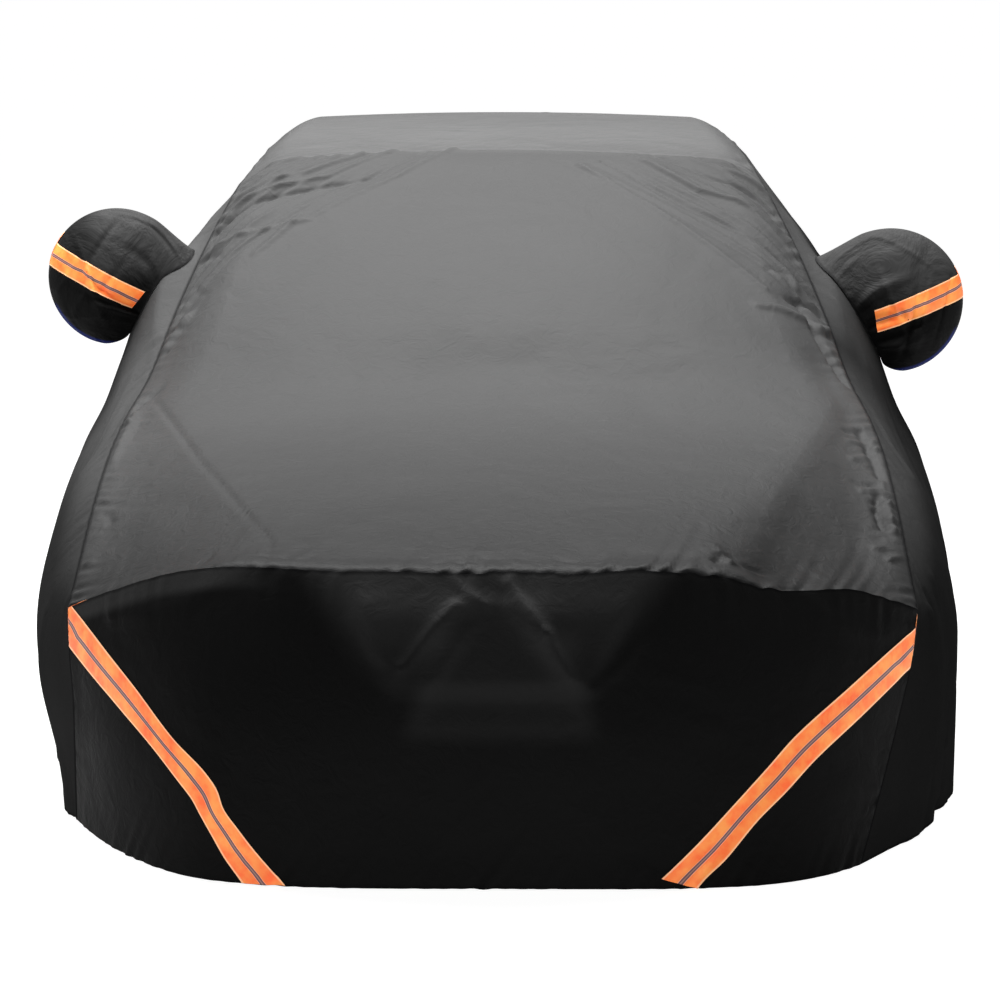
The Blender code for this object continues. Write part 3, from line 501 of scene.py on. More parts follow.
def hood_creases(points):
    """Drop of the cloth outside the two hood creases."""
    total = np.zeros(points.shape[:-1])
    window = over_hood(points[..., 1])
    for side, (_, slope, groove) in HOOD_CREASES.items():
        away = crease_distance(side, points)
        drop = 1 - np.exp(-np.maximum(away, 0) / CREASE_REACH)
        total += slope * CREASE_REACH * drop * window
        total += groove * hump(away, GROOVE_WIDTH) * window
    return total


def ripple(along, seed):
    """Uneven puckers of cloth gathered by a line of stitches, along it in metres."""
    total = (np.sin(along * 2 * math.pi / 0.036 + seed)
             + 0.8 * np.sin(along * 2 * math.pi / 0.051 + 2.1 * seed)
             + 0.7 * np.sin(along * 2 * math.pi / 0.083 + 0.7 * seed))
    swell = 0.55 + 0.45 * np.sin(along * 2 * math.pi / 0.37 + seed)
    return total * swell / 2.5


def pucker(away, along, seed, height, reach):
    """Height of the puckers beside a seam; nothing on the seam itself."""
    share = np.maximum(away, 0) / reach
    return height * ripple(along, seed) * 2.7 * share * np.exp(-share)


# Folds and creases of the rear face; a is across (x), b is height (z)
REAR_FOLDS = [
    ("left gather",  -0.70, 0.72, -0.66, 0.45, -0.68, 0.02, 0.004, 0.012, 0.040),
    ("left dip",     -0.58, 0.76, -0.54, 0.45, -0.55, 0.02, -0.004, -0.010, 0.034),
    ("left middle",  -0.30, 0.60, -0.33, 0.30, -0.30, 0.02, 0.003, 0.010, 0.050),
    ("middle dip",   0.04, 0.50, 0.02, 0.28, 0.05, 0.02, -0.002, -0.010, 0.060),
    ("right middle", 0.36, 0.62, 0.33, 0.34, 0.38, 0.02, 0.003, 0.010, 0.046),
    ("right dip",    0.57, 0.74, 0.60, 0.44, 0.58, 0.02, -0.004, -0.010, 0.034),
    ("right gather", 0.70, 0.72, 0.68, 0.42, 0.70, 0.02, 0.004, 0.012, 0.040),
]
REAR_FOLDS += crumples("rear hem", (0.00, 0.14), (0.66, 0.12), 14, 0.16, 0.006, 0.009, 51)
REAR_FOLDS += crumples("rear top", (0.00, 0.66), (0.66, 0.08), 12, 0.16, 0.005, 0.009, 52)

# The broad folds of the solid are kept low here, where sharp creases carry them
FOLD_SHARE = 0.25
# The cloth rolls over the hood edge: how far it stands up, how fast, and how far back
ROLL_HEIGHT = 0.011
ROLL_START = 0.011
ROLL_REACH = 0.110
# Share of the half width over which broad forms, folds and creases run out at a seam
BROAD_FADE = 0.14
FOLD_FADE = 0.07
CREASE_FADE = 0.03
# Puckers beside a stitched seam: their height and how far they reach from it
SEAM_PUCKER = (0.0045, 0.018)
HOOD_PUCKER = (0.0042, 0.008)
UPWARD = np.array([0.0, 0.35, 1.0])


def puckered(x):
    """The hood edge is smooth on the left and more gathered towards the right."""
    return 0.25 + 0.75 * smooth_step((x + 0.45) / 0.70)


def edge_wave(x):
    """How far the seam along the hood edge wavers up and down."""
    return puckered(x) * (0.0040 * ripple(x, 0.6)
                          + 0.0030 * np.sin(x * 2 * math.pi / 0.21 + 0.4))


def off_seam(across, width):
    """0 on a seam, rising to 1 over the given share of the half width."""
    return smooth_step((1 - np.abs(across)) / width)


def hem_ripple(along, away, seed, height, reach):
    """Ripples of the cloth that the elastic in a hem gathers."""
    return height * ripple(along, seed) * np.exp(-away / reach)


def top_surface(across, place):
    """Upper panel with its folds, for a full grid of the two parameters."""
    points = top_base(across, place)
    points[..., 2] -= hood_sag(points, place)
    settled = off_seam(across, BROAD_FADE)
    points[..., 2] -= hood_creases(points) * settled
    x, y, z = np.moveaxis(points, -1, 0)
    normal = surface_normals(points)
    normal *= np.sign(np.sum(normal * UPWARD, axis=-1))[..., None]
    fade = off_seam(across, FOLD_FADE) * smooth_step(place / 0.6)
    lift = FOLD_SHARE * fold_field(x, y, TOP_FOLDS) * fade
    crisp = off_seam(across, CREASE_FADE) * smooth_step(place / 0.25)
    lift += fold_field(x, y, TOP_CREASES) * crisp
    first, second = along_edges(points)
    lift += pucker(first, second, 1.0, *SEAM_PUCKER)
    lift += pucker(first[-1:] - first, second, 2.3, *SEAM_PUCKER)
    lift += pucker(second, first, 0.4, *HOOD_PUCKER) * puckered(x)
    rolled = 0.75 + 0.5 * ripple(first, 6.1) * puckered(x)
    lift += (ROLL_HEIGHT * rolled * (1 - np.exp(-second / ROLL_START))
             * np.exp(-second / ROLL_REACH) * settled)
    points[..., 2] += edge_wave(x) * np.exp(-second / 0.03) * settled
    flap = 1 - smooth_step(place - (BODY - 1.5))
    rear = smooth_step((place - (BODY - 1.0)) / 0.8) * off_seam(across, 0.06)
    folds = fold_field(x, z, REAR_FOLDS)
    folds += hem_ripple(first, second[:, -1:] - second, 2.7, 0.0045, 0.09)
    return points + normal * (lift * flap + folds * rear)[..., None]


def vertex_places(mesh):
    """Places of all vertices, one row each."""
    places = np.zeros(len(mesh.vertices) * 3)
    mesh.vertices.foreach_get("co", places)
    return places.reshape(-1, 3)


def mark_points(mesh, word, values):
    """Give each vertex a value under a name that a material reads."""
    mark = mesh.attributes.new(word, "FLOAT", "POINT")
    mark.data.foreach_set("value", values)


def mark_rim(mesh, first, second, columns, rows):
    """Keep the turned edge of a sheet crisp."""
    pairs = np.zeros(len(mesh.edges) * 2, dtype=int)
    mesh.edges.foreach_get("vertices", pairs)
    one, two = pairs.reshape(-1, 2).T
    sharp = (first[one] == first[two]) & np.isin(first[one], (1, columns - 1))
    sharp |= (second[one] == second[two]) & np.isin(second[one], (1, rows - 1))
    mark = mesh.attributes.new("sharp_edge", "BOOLEAN", "EDGE")
    mark.data.foreach_set("value", sharp)


def cloth_sheet(name, points, turn_in=0.0):
    """Grid primitive laid on a table of positions, with its weave map in metres.

    Its edges can be turned in by a narrow allowance, as at a seam or a hem.
    """
    across, down = along_edges(points)
    ends = {"near_start": across, "near_end": across[-1:] - across,
            "near_top": down, "near_hem": down[:, -1:] - down}
    if turn_in:
        ends = {word: np.pad(distance, 1, mode="edge") for word, distance in ends.items()}
        inward = np.pad(surface_normals(points), ((1, 1), (1, 1), (0, 0)), mode="edge")
        points = np.pad(points, ((1, 1), (1, 1), (0, 0)), mode="edge")
        rim = np.ones(points.shape[:2], dtype=bool)
        rim[1:-1, 1:-1] = False
        points[rim] -= inward[rim] * turn_in
    columns = points.shape[0] - 1
    rows = points.shape[1] - 1
    bpy.ops.object.select_all(action="DESELECT")
    bpy.ops.mesh.primitive_grid_add(x_subdivisions=columns, y_subdivisions=rows, size=2.0)
    piece = bpy.context.object
    piece.name = name
    mesh = piece.data
    mesh.name = name
    flat = vertex_places(mesh)
    first = np.rint((flat[:, 0] + 1) / 2 * columns).astype(int)
    second = np.rint((flat[:, 1] + 1) / 2 * rows).astype(int)
    placed = points[first, second] - ORIGIN
    mesh.vertices.foreach_set("co", placed.ravel())
    across, down = along_edges(points)
    corners = np.zeros(len(mesh.loops), dtype=int)
    mesh.loops.foreach_get("vertex_index", corners)
    middle = across[columns // 2, :][second]
    cloth_map = np.stack([across[first, second] - middle, down[first, second]], axis=1)
    layer = mesh.uv_layers.active or mesh.uv_layers.new(name="cloth_map")
    layer.data.foreach_set("uv", cloth_map[corners].ravel())
    for word, distance in ends.items():
        mark_points(mesh, word, distance[first, second].ravel())
    mesh.shade_smooth()
    if turn_in:
        mark_rim(mesh, first, second, columns, rows)
    mesh.update()
    return piece


def linear(code, alpha=1.0):
    """Linear colour of a hex code."""
    parts = [int(code[place:place + 2], 16) / 255 for place in (1, 3, 5)]
    parts = [part / 12.92 if part <= 0.04045 else ((part + 0.055) / 1.055)**2.4
             for part in parts]
    return (*parts, alpha)


def coated_taffeta(name, tones, rough, gloss, seams, crumple=0.0034, crumple_scale=26.0):
    """Polyester taffeta with a thin waterproof coating: nearly black, painted paler where it
    catches the lamps as painted light, with fine crumples all over and puckers along each
    seam that is stitched."""
    dark, pale, painted_lit = tones
    material = bpy.data.materials.new(name)
    material.use_nodes = True
    tree = material.node_tree
    shader = tree.nodes["Principled BSDF"]
    place = add_node(tree, "ShaderNodeTexCoord").outputs["Object"]
    weave_map = add_node(tree, "ShaderNodeUVMap", {"uv_map": "cloth_map"}).outputs["UV"]
    # Slow changes of tone, as in cloth that has been folded and rubbed
    mottle = add_node(tree, "ShaderNodeTexNoise", None,
                      {"Scale": 2.6, "Detail": 5.0, "Roughness": 0.55}, {"Vector": place})
    tone = add_node(tree, "ShaderNodeMix", {"data_type": "RGBA"},
                    {6: linear(dark), 7: linear(pale)}, {0: mottle})
    # Painted light: the base colour is mixed towards the paler lit tone by how much painted light
    # each point is marked with
    painted_light_mark = add_node(tree, "ShaderNodeAttribute", {"attribute_name": "painted_light"})
    painted_light_tone = add_node(tree, "ShaderNodeMix", {"data_type": "RGBA"},
                           {7: linear(painted_lit)},
                           {0: painted_light_mark.outputs["Fac"], 6: tone.outputs[2]})
    # A dark blue binding shows along part of some rims
    bound = add_node(tree, "ShaderNodeAttribute", {"attribute_name": "bound"})
    last_tone = add_node(tree, "ShaderNodeMix", {"data_type": "RGBA"},
                         {7: linear("#1a2358")},
                         {0: bound.outputs["Fac"], 6: painted_light_tone.outputs[2]})
    # Crumples 60 to 300 mm wide and the fine ones between them
    broad = add_node(tree, "ShaderNodeTexNoise", None,
                     {"Scale": 4.5, "Detail": 2.0, "Roughness": 0.45, "Distortion": 0.6},
                     {"Vector": place})
    fine = add_node(tree, "ShaderNodeTexNoise", None,
                    {"Scale": crumple_scale, "Detail": 4.0, "Roughness": 0.6,
                     "Distortion": 1.4},
                    {"Vector": place})
    bump = add_node(tree, "ShaderNodeBump", None, {"Strength": 0.35, "Distance": 0.03},
                    {"Height": broad})
    bump = add_node(tree, "ShaderNodeBump", None, {"Strength": 0.6, "Distance": crumple},
                    {"Height": fine, "Normal": bump})
    # Puckers square to each seam, about 12 mm apart, fading out over 40 mm
    for edge, stretch, reach, depth in seams:
        distance = add_node(tree, "ShaderNodeAttribute", {"attribute_name": edge})
        fade = add_node(tree, "ShaderNodeMapRange", {"interpolation_type": "SMOOTHSTEP"},
                        {"From Min": reach, "From Max": 0.0},
                        {"Value": distance.outputs["Fac"]})
        turned = add_node(tree, "ShaderNodeMapping", None, {"Scale": stretch},
                          {"Vector": weave_map})
        gather = add_node(tree, "ShaderNodeTexNoise", None,
                          {"Scale": 1.0, "Detail": 2.0, "Roughness": 0.5},
                          {"Vector": turned})
        strength = add_node(tree, "ShaderNodeMath", {"operation": "MULTIPLY"}, None,
                            {0: gather, 1: fade})
        # The stitched line itself lies in shadow, more in some puckers than in others
        stitched = add_node(tree, "ShaderNodeMapRange", {"interpolation_type": "SMOOTHSTEP"},
                            {"From Min": 0.009, "From Max": 0.001},
                            {"Value": distance.outputs["Fac"]})
        shade = add_node(tree, "ShaderNodeMapRange", None,
                         {"From Min": 0.35, "From Max": 0.60},
                         {"Value": gather, "To Max": stitched})
        last_tone = add_node(tree, "ShaderNodeMix", {"data_type": "RGBA"},
                             {7: linear("#060607")},
                             {0: shade, 6: last_tone.outputs[2]})
        bump = add_node(tree, "ShaderNodeBump", None, {"Strength": 1.0, "Distance": depth},
                        {"Height": strength,
                         "Normal": bump})
    tree.links.new(last_tone.outputs[2], shader.inputs["Base Color"])
    # Plain weave, drawn 2 mm apart because its true 0.3 mm would not show
    cross = add_node(tree, "ShaderNodeSeparateXYZ", None, None, {"Vector": weave_map})
    threads = []
    for axis in ("X", "Y"):
        angle = add_node(tree, "ShaderNodeMath", {"operation": "MULTIPLY"},
                         {1: 2 * math.pi / 0.002}, {0: cross.outputs[axis]})
        threads.append(add_node(tree, "ShaderNodeMath", {"operation": "SINE"}, None,
                                {0: angle}))
    weave = add_node(tree, "ShaderNodeMath", {"operation": "MULTIPLY"}, None,
                     {0: threads[0], 1: threads[1]})
    bump = add_node(tree, "ShaderNodeBump", None, {"Strength": 0.12, "Distance": 0.0002},
                    {"Height": weave, "Normal": bump})
    tree.links.new(bump.outputs["Normal"], shader.inputs["Normal"])
    wear = add_node(tree, "ShaderNodeMapRange", None, {"To Min": rough - 0.06,
                                                       "To Max": rough + 0.08},
                    {"Value": mottle})
    tree.links.new(wear.outputs["Result"], shader.inputs["Roughness"])
    shader.inputs["Specular IOR Level"].default_value = gloss
    return material


def spread_painted_light(piece, amount):
    """Mark how much painted light each point takes; amount reads the points, in metres."""
    mesh = piece.data
    mark_points(mesh, "painted_light", np.clip(amount(vertex_places(mesh) + ORIGIN), 0, 1))


# Scale of the puckers in the shader: 80 a metre along a seam, 9 a metre away from it
SIDE_SEAM = (9.0, 80.0, 1.0)
CROSS_SEAM = (80.0, 9.0, 1.0)
TURN_IN = 0.012          # allowance that is turned in at every edge of a panel
CROWDING = 0.22          # how much closer together the columns stand beside the seams
EDGE_GAP = 0.0002        # the grids start and end just inside their edges
START_GAP = 0.0006
END_GAP = 0.0005


def seam_to_seam(count):
    """Columns of a sheet from its left seam (-1) to its right one (1)."""
    even = np.linspace(-1, 1, count)
    return np.clip(even * (1 + CROWDING - CROWDING * even**2), EDGE_GAP - 1, 1 - EDGE_GAP)


# Painted light: the upper panel's base tones are paler than the front's and the sides', a lit
# copy of the same black taffeta, and its third tone is the painted light
top_cloth = coated_taffeta("coated_taffeta_top", ("#1a1a1a", "#1f1f1f", "#3a3a3a"), 0.50, 0.04,
                           [("near_start", SIDE_SEAM, 0.070, 0.010),
                            ("near_end", SIDE_SEAM, 0.070, 0.010),
                            ("near_top", CROSS_SEAM, 0.060, 0.009),
                            ("near_hem", CROSS_SEAM, 0.080, 0.008)])

# Rows stand closer together over the hood and glass, where the folds are finest
TOP_ROWS = [(0.0, 0.35, 24), (0.35, 4.6, 110), (4.6, 8.3, 170), (8.3, 12.0, 26),
            (12.0, 15.0, 36), (15.0, 18.0, 32)]
top_places = [START_GAP]
for start, end, count in TOP_ROWS:
    top_places.extend(start + (end - start) * (step + 1) / count for step in range(count))
top_grid = np.meshgrid(seam_to_seam(241), top_places, indexing="ij")
top = cloth_sheet("upper_cloth", top_surface(*top_grid), turn_in=TURN_IN)
top.data.materials.append(top_cloth)
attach(top, "root")
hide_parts("top_panel")

# Painted light along the panel, darkest at the hood edge and palest over the roof: y from the
# front hem, then how pale it is painted there
TOP_PAINTED_LIGHT = [(0.10, 0.02), (0.30, 0.14), (0.60, 0.52), (1.00, 0.86), (1.30, 0.80),
             (1.895, 0.74), (1.915, 0.92), (4.70, 0.92)]
# Painted light outside the left hood crease, painted shade outside the right one
CREASE_PAINTED_SHADING = {-1: 0.05, +1: -0.12}


def top_painted_light(spots):
    """Painted shade towards the hood edge, outside the right crease, on the right of the glass
    and low on the rear face; painted light outside the left crease.
    """
    y = spots[:, 1]
    table = np.array(TOP_PAINTED_LIGHT)
    tone = np.interp(y, table[:, 0], table[:, 1])
    window = over_hood(y)
    for side, change in CREASE_PAINTED_SHADING.items():
        away = crease_distance(side, spots)
        tone += change * smooth_step(away / 0.006 + 0.5) * window
    glass = smooth_step((1.90 - y) / 0.02) * smooth_step((y - 1.25) / 0.10)
    tone -= 0.14 * glass * smooth_step((spots[:, 0] - 0.20) / 0.30)
    rear = smooth_step((y - 4.20) / 0.25) * smooth_step((0.86 - spots[:, 2]) / 0.16)
    return tone * (1 - 0.75 * rear)


spread_painted_light(top, top_painted_light)

# Front panel: from the seam along the hood edge down to the elastic in the front hem, with
# the nose and the hollow of the grille pressing through from inside. The same taffeta as
# the upper panel, with its base tones painted darker as the shade it has hanging away
# from the light.

# Front hem, seen from above: half width, depth and power of its curve on each side
FRONT_HEM = {-1: (0.803, 0.537, 4.5), +1: (0.825, 0.537, 5.4)}
HEM_SET_BACK = 0.028     # how far the hem is tucked in at the middle of the front
NOSE_BULGE = 0.052       # how far the front swells past a straight drop

# Folds of the front panel; a is across (x), b is height (z)
FRONT_FOLDS = [
    ("left of grille",  -0.16, 0.39, -0.11, 0.45, -0.05, 0.51, 0.007, 0.009, 0.020),
    ("right of grille", 0.04, 0.51, 0.09, 0.45, 0.14, 0.39, 0.010, 0.006, 0.018),
    ("left cheek",      -0.55, 0.44, -0.52, 0.25, -0.54, 0.02, 0.002, 0.008, 0.080),
    ("right cheek",     0.50, 0.42, 0.46, 0.22, 0.44, 0.02, 0.002, -0.008, 0.080),
]
# Raised nose and the hollow that the cloth makes over the grille: name, top, bottom, left
# and right end at the top, left and right end at the bottom, height, softness of the edge
FRONT_PATCHES = [
    ("nose",   0.70, 0.36, -0.33, 0.38, -0.18, 0.17, 0.014, 0.045),
    ("grille", 0.475, 0.315, -0.035, 0.075, -0.120, 0.165, -0.005, 0.045),
]

# Sharp creases of the front panel
FRONT_CREASES = [
    ("nose left",    -0.250, 0.480, -0.205, 0.425, -0.158, 0.398, 0.003, 0.005, 0.010),
    ("nose middle",  -0.150, 0.400, -0.110, 0.450, -0.062, 0.505, 0.005, 0.007, 0.010),
    ("bridge left",  -0.075, 0.560, -0.045, 0.530, 0.000, 0.505, 0.004, 0.005, 0.009),
    ("bridge right", 0.030, 0.545, 0.070, 0.500, 0.105, 0.455, 0.006, 0.008, 0.009),
    ("nose right",   0.100, 0.460, 0.145, 0.385, 0.181, 0.361, 0.007, 0.005, 0.010),
    ("right cheek",  0.181, 0.361, 0.235, 0.400, 0.271, 0.446, 0.004, 0.003, 0.012),
    ("grille left",  -0.034, 0.469, -0.075, 0.410, -0.107, 0.364, 0.004, 0.004, 0.009),
    ("grille right", 0.073, 0.472, 0.120, 0.410, 0.154, 0.364, 0.004, 0.004, 0.009),
    ("corner fan one", 0.560, 0.500, 0.640, 0.440, 0.720, 0.400, 0.004, 0.002, 0.016),
    ("corner fan two", -0.700, 0.440, -0.600, 0.470, -0.480, 0.530, 0.004, 0.002, 0.018),
]
FRONT_PUCKER = (0.0030, 0.020)
CORNER_PUCKER = (0.0020, 0.018)


def patch_field(across, height, patches):
    """Height of soft-edged patches on the front panel."""
    total = np.zeros(np.shape(across))
    for (_, top, bottom, top_left, top_right, low_left, low_right, lift, soft) in patches:
        share = np.clip((height - bottom) / (top - bottom), 0.0, 1.0)
        left = low_left + (top_left - low_left) * share
        right = low_right + (top_right - low_right) * share
        inside = (smooth_step((across - left) / soft + 0.5)
                  * smooth_step((right - across) / soft + 0.5)
                  * smooth_step((height - bottom) / soft + 0.5)
                  * smooth_step((top - height) / soft + 0.5))
        total += lift * inside
    return total


def front_hem(side, x):
    """How far back the front hem lies at x, on one side of the middle."""
    half, depth, power = FRONT_HEM[side]
    return HEM_SET_BACK + depth * (np.abs(x) / half)**power


def front_base(across, level):
    """Front panel before its folds, from the hood edge down to the front hem."""
    across, level = np.broadcast_arrays(np.asarray(across, float), np.asarray(level, float))
    upper = top_base(across, 0.0)
    lower = np.zeros(across.shape + (3,))
    left_end = FRONT_CORNER[-1][2][0]
    right_end = FRONT_CORNER[1][2][0]
    lower[..., 0] = across * (left_end + right_end) / 2 + (right_end - left_end) / 2
    lower[..., 1] = HEM_SET_BACK
    for side in (-1, 1):
        curve = front_hem(side, lower[..., 0])
        lower[..., 1] = np.where(lower[..., 0] * side > 0, curve, lower[..., 1])
    level3 = level[..., None]
    points = upper + (lower - upper) * level3
    reach = np.abs(across)
    swell = np.sin(math.pi * level**0.85)
    points[..., 1] -= NOSE_BULGE * swell * (1 - reach**3)
    for side in (-1, 1):
        corner = side_base(side, 0.0, level)
        top_end = top_base(side * 1.0, 0.0)
        low_end = side_base(side, 0.0, 1.0)
        low_end[1] = front_hem(side, low_end[0])
        straight = top_end + (low_end - top_end) * level3
        share = np.where(across * side > 0, reach**4, 0.0)
        points += (corner - straight) * share[..., None]
    return points


def front_surface(across, level):
    """Front panel with its folds, for a full grid of the two parameters."""
    points = front_base(across, level)
    dropped = top_base(across, 0.0 * level)
    points[..., 2] -= hood_sag(dropped, 0.0 * level) * (1 - level)
    drop = np.linalg.norm(points - points[:, :1], axis=-1)
    held = off_seam(across, BROAD_FADE)
    points[..., 2] += edge_wave(dropped[..., 0]) * np.exp(-drop / 0.05) * held
    x, _, z = np.moveaxis(points, -1, 0)
    normal = surface_normals(points)
    normal *= -np.sign(normal[..., 1:2])
    fade = off_seam(across, 0.10) * smooth_step(level / 0.16)
    lift = fold_field(x, z, FRONT_FOLDS)
    lift += patch_field(x, z, FRONT_PATCHES)
    crisp = off_seam(across, CREASE_FADE)
    fine = fold_field(x, z, FRONT_CREASES) * crisp
    first, second = along_edges(points)
    fine += pucker(second, first, 5.2, *FRONT_PUCKER)
    fine += pucker(first, second, 0.9, *CORNER_PUCKER)
    fine += pucker(first[-1:] - first, second, 2.9, *CORNER_PUCKER)
    fine += hem_ripple(first, second[:, -1:] - second, 1.3, 0.004, 0.05) * crisp
    return points + normal * (lift * fade + fine)[..., None]


# Painted shade: the front panel's base tones are darker than the upper panel's, a shaded copy of
# the same taffeta, and its third tone is the painted light
front_cloth = coated_taffeta("coated_taffeta_front", ("#111111", "#171717", "#343434"), 0.55,
                             0.02,
                             [("near_start", SIDE_SEAM, 0.045, 0.003),
                              ("near_end", SIDE_SEAM, 0.045, 0.003),
                              ("near_top", CROSS_SEAM, 0.045, 0.003),
                              ("near_hem", CROSS_SEAM, 0.070, 0.005)])
front_levels = np.linspace(END_GAP, 1.0, 121)
front_grid = np.meshgrid(seam_to_seam(221)[::-1], front_levels, indexing="ij")
front = cloth_sheet("front_cloth", front_surface(*front_grid), turn_in=TURN_IN)
front.data.materials.append(front_cloth)
# Painted highlight over the nose, where it bulges up towards the lamps: how pale it is painted,
# in the columns of the patches
NOSE_PAINTED_LIGHT = [
    ("left lobe",   0.62, 0.40, -0.36, -0.02, -0.22, -0.10, 1.00, 0.10),
    ("right lobe",  0.62, 0.40, 0.02, 0.36, 0.10, 0.20, 0.75, 0.10),
    ("bridge",      0.62, 0.47, -0.06, 0.10, -0.06, 0.10, 0.80, 0.08),
    ("chin",        0.46, 0.280, -0.10, 0.15, -0.15, 0.19, 0.85, 0.05),
]
HOOD_HALF = 0.798        # half width of the hood edge


def front_painted_light(spots):
    """Painted highlight over the nose, most of all near the hood edge, and a painted light band
    just under the hood edge on the left.
    """
    x, _, z = spots.T
    lift = 0.35 + 0.65 * smooth_step((z - 0.40) / 0.20)
    nose = patch_field(x, z, NOSE_PAINTED_LIGHT) * lift
    edge = top_base(np.clip(x / HOOD_HALF, -1, 1), 0.0)
    under = edge[:, 2] - hood_sag(edge, 0.0) - z
    lip = 1 - smooth_step((under - 0.022) / 0.022)
    return np.maximum(nose, 0.85 * (lip * smooth_step((-x - 0.36) / 0.16)))


spread_painted_light(front, front_painted_light)
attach(front, "root")
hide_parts("front_panel")

# Side panels: one on each side from the front corner to the rear corner, with an oval
# hole at the mirror, and gathered by the elastic at the hem. They hang nearly upright, and
# their base tones are painted darker than the upper panel's as painted shade.

# Folds of the side panels; a is along (y), b is height (z)
SIDE_FOLDS = {
    -1: [
        ("pillar puff", 1.56, 0.84, 1.70, 0.97, 1.84, 1.08, 0.004, 0.018, 0.080),
        ("mirror neck", 1.60, 0.90, 1.70, 0.90, 1.80, 0.88, 0.030, 0.034, 0.085),
        ("belt hollow", 1.20, 0.62, 1.50, 0.66, 1.90, 0.66, -0.008, -0.012, 0.070),
        ("tuck",        0.62, 0.10, 0.95, 0.10, 1.60, 0.12, -0.020, -0.016, 0.140),
        ("corner",      0.62, 0.42, 0.64, 0.22, 0.66, 0.00, 0.004, 0.012, 0.050),
        ("wheel",       1.02, 0.30, 1.08, 0.15, 1.10, 0.00, -0.006, -0.014, 0.060),
        ("front door",  1.95, 0.40, 1.92, 0.20, 1.86, 0.00, 0.004, 0.013, 0.060),
        ("pillar",      2.52, 0.62, 2.50, 0.30, 2.44, 0.00, -0.004, -0.013, 0.070),
        ("rear door",   3.02, 0.55, 3.08, 0.25, 3.10, 0.00, 0.004, 0.013, 0.060),
        ("rear wheel",  3.52, 0.42, 3.60, 0.20, 3.62, 0.00, -0.004, -0.012, 0.060),
        ("rear corner", 4.02, 0.45, 4.05, 0.22, 4.04, 0.00, 0.004, 0.012, 0.050),
        ("glass",       2.05, 1.00, 2.25, 0.86, 2.40, 0.74, 0.008, 0.004, 0.040),
        ("back glass",  3.35, 0.92, 3.25, 0.82, 3.05, 0.72, 0.008, 0.004, 0.040),
    ],
    +1: [
        ("pillar puff", 1.56, 0.84, 1.70, 0.97, 1.84, 1.08, 0.004, 0.016, 0.080),
        ("mirror neck", 1.60, 0.90, 1.70, 0.88, 1.80, 0.84, 0.018, 0.022, 0.085),
        ("belt hollow", 1.20, 0.62, 1.50, 0.66, 1.90, 0.66, -0.008, -0.012, 0.070),
        ("corner",      0.52, 0.40, 0.50, 0.20, 0.42, 0.00, 0.006, 0.010, 0.045),
        ("corner dip",  0.66, 0.42, 0.68, 0.20, 0.64, 0.00, -0.008, -0.016, 0.040),
        ("wheel",       0.82, 0.44, 0.84, 0.22, 0.82, 0.00, 0.004, 0.006, 0.050),
        ("wheel dip",   1.04, 0.40, 1.06, 0.20, 1.08, 0.00, -0.004, -0.012, 0.050),
        ("front door",  1.72, 0.42, 1.80, 0.20, 1.82, 0.00, 0.004, 0.014, 0.060),
        ("pillar",      2.30, 0.55, 2.36, 0.28, 2.42, 0.00, -0.004, -0.013, 0.070),
        ("rear door",   2.90, 0.60, 2.94, 0.26, 3.00, 0.00, 0.004, 0.013, 0.060),
        ("rear wheel",  3.48, 0.44, 3.52, 0.22, 3.50, 0.00, -0.004, -0.012, 0.060),
        ("rear corner", 3.98, 0.48, 4.00, 0.24, 4.06, 0.00, 0.004, 0.012, 0.050),
        ("glass",       2.10, 1.00, 2.28, 0.88, 2.46, 0.76, 0.008, 0.004, 0.040),
        ("back glass",  3.30, 0.94, 3.20, 0.84, 2.98, 0.74, 0.008, 0.004, 0.040),
    ],
}

# Sharp creases of the side panels; a is along (y), b is height (z)
SIDE_CREASES = {
    -1: [("corner one", 0.62, 0.40, 0.60, 0.22, 0.61, 0.01, 0.004, 0.007, 0.012)]
        + crumples("front hem", (1.00, 0.16), (0.35, 0.09), 9, 0.14, 0.004, 0.009, 21)
        + crumples("rear hem", (3.00, 0.16), (1.10, 0.14), 20, 0.18, 0.008, 0.011, 22)
        + crumples("belt", (2.75, 0.72), (0.85, 0.12), 14, 0.20, 0.007, 0.011, 23)
        + crease_fan("mirror left", [(1.52, 0.86), (1.52, 0.70)],
                     [(1.10, 0.62), (1.12, 0.50)], 7, 0.0025, 0.0080, 24),
    +1: [("corner one", 0.53, 0.42, 0.52, 0.22, 0.47, 0.01, 0.007, 0.011, 0.011),
         ("corner two", 0.57, 0.44, 0.56, 0.24, 0.52, 0.02, -0.007, -0.010, 0.011),
         ("corner three", 0.66, 0.46, 0.65, 0.26, 0.62, 0.04, 0.006, 0.010, 0.012)]
        + crumples("front hem", (0.90, 0.18), (0.35, 0.10), 9, 0.15, 0.005, 0.009, 31)
        + crumples("rear hem", (3.00, 0.16), (1.10, 0.14), 20, 0.18, 0.008, 0.011, 32)
        + crumples("belt", (2.75, 0.72), (0.85, 0.12), 14, 0.20, 0.007, 0.011, 33)
        + crease_fan("mirror right", [(1.52, 0.84), (1.54, 0.66)],
                     [(1.05, 0.62), (1.15, 0.46)], 9, 0.0030, 0.0080, 34),
}
# Pockets, as the side panel needs them too: section and level of the neck hole and its
# half sizes there; radius and half thickness of the bag; which way it stands out (x, z);
# how far forward it hangs, and how far off the side.
POCKETS = {
    -1: (6.90, 0.133, 0.34, 0.110, 0.148, 0.064, 0.917, 0.400, 0.030, -0.006),
    +1: (6.90, 0.176, 0.34, 0.132, 0.156, 0.068, 0.952, 0.306, 0.030, 0.000),
}
HOLE_SHARE = 0.84
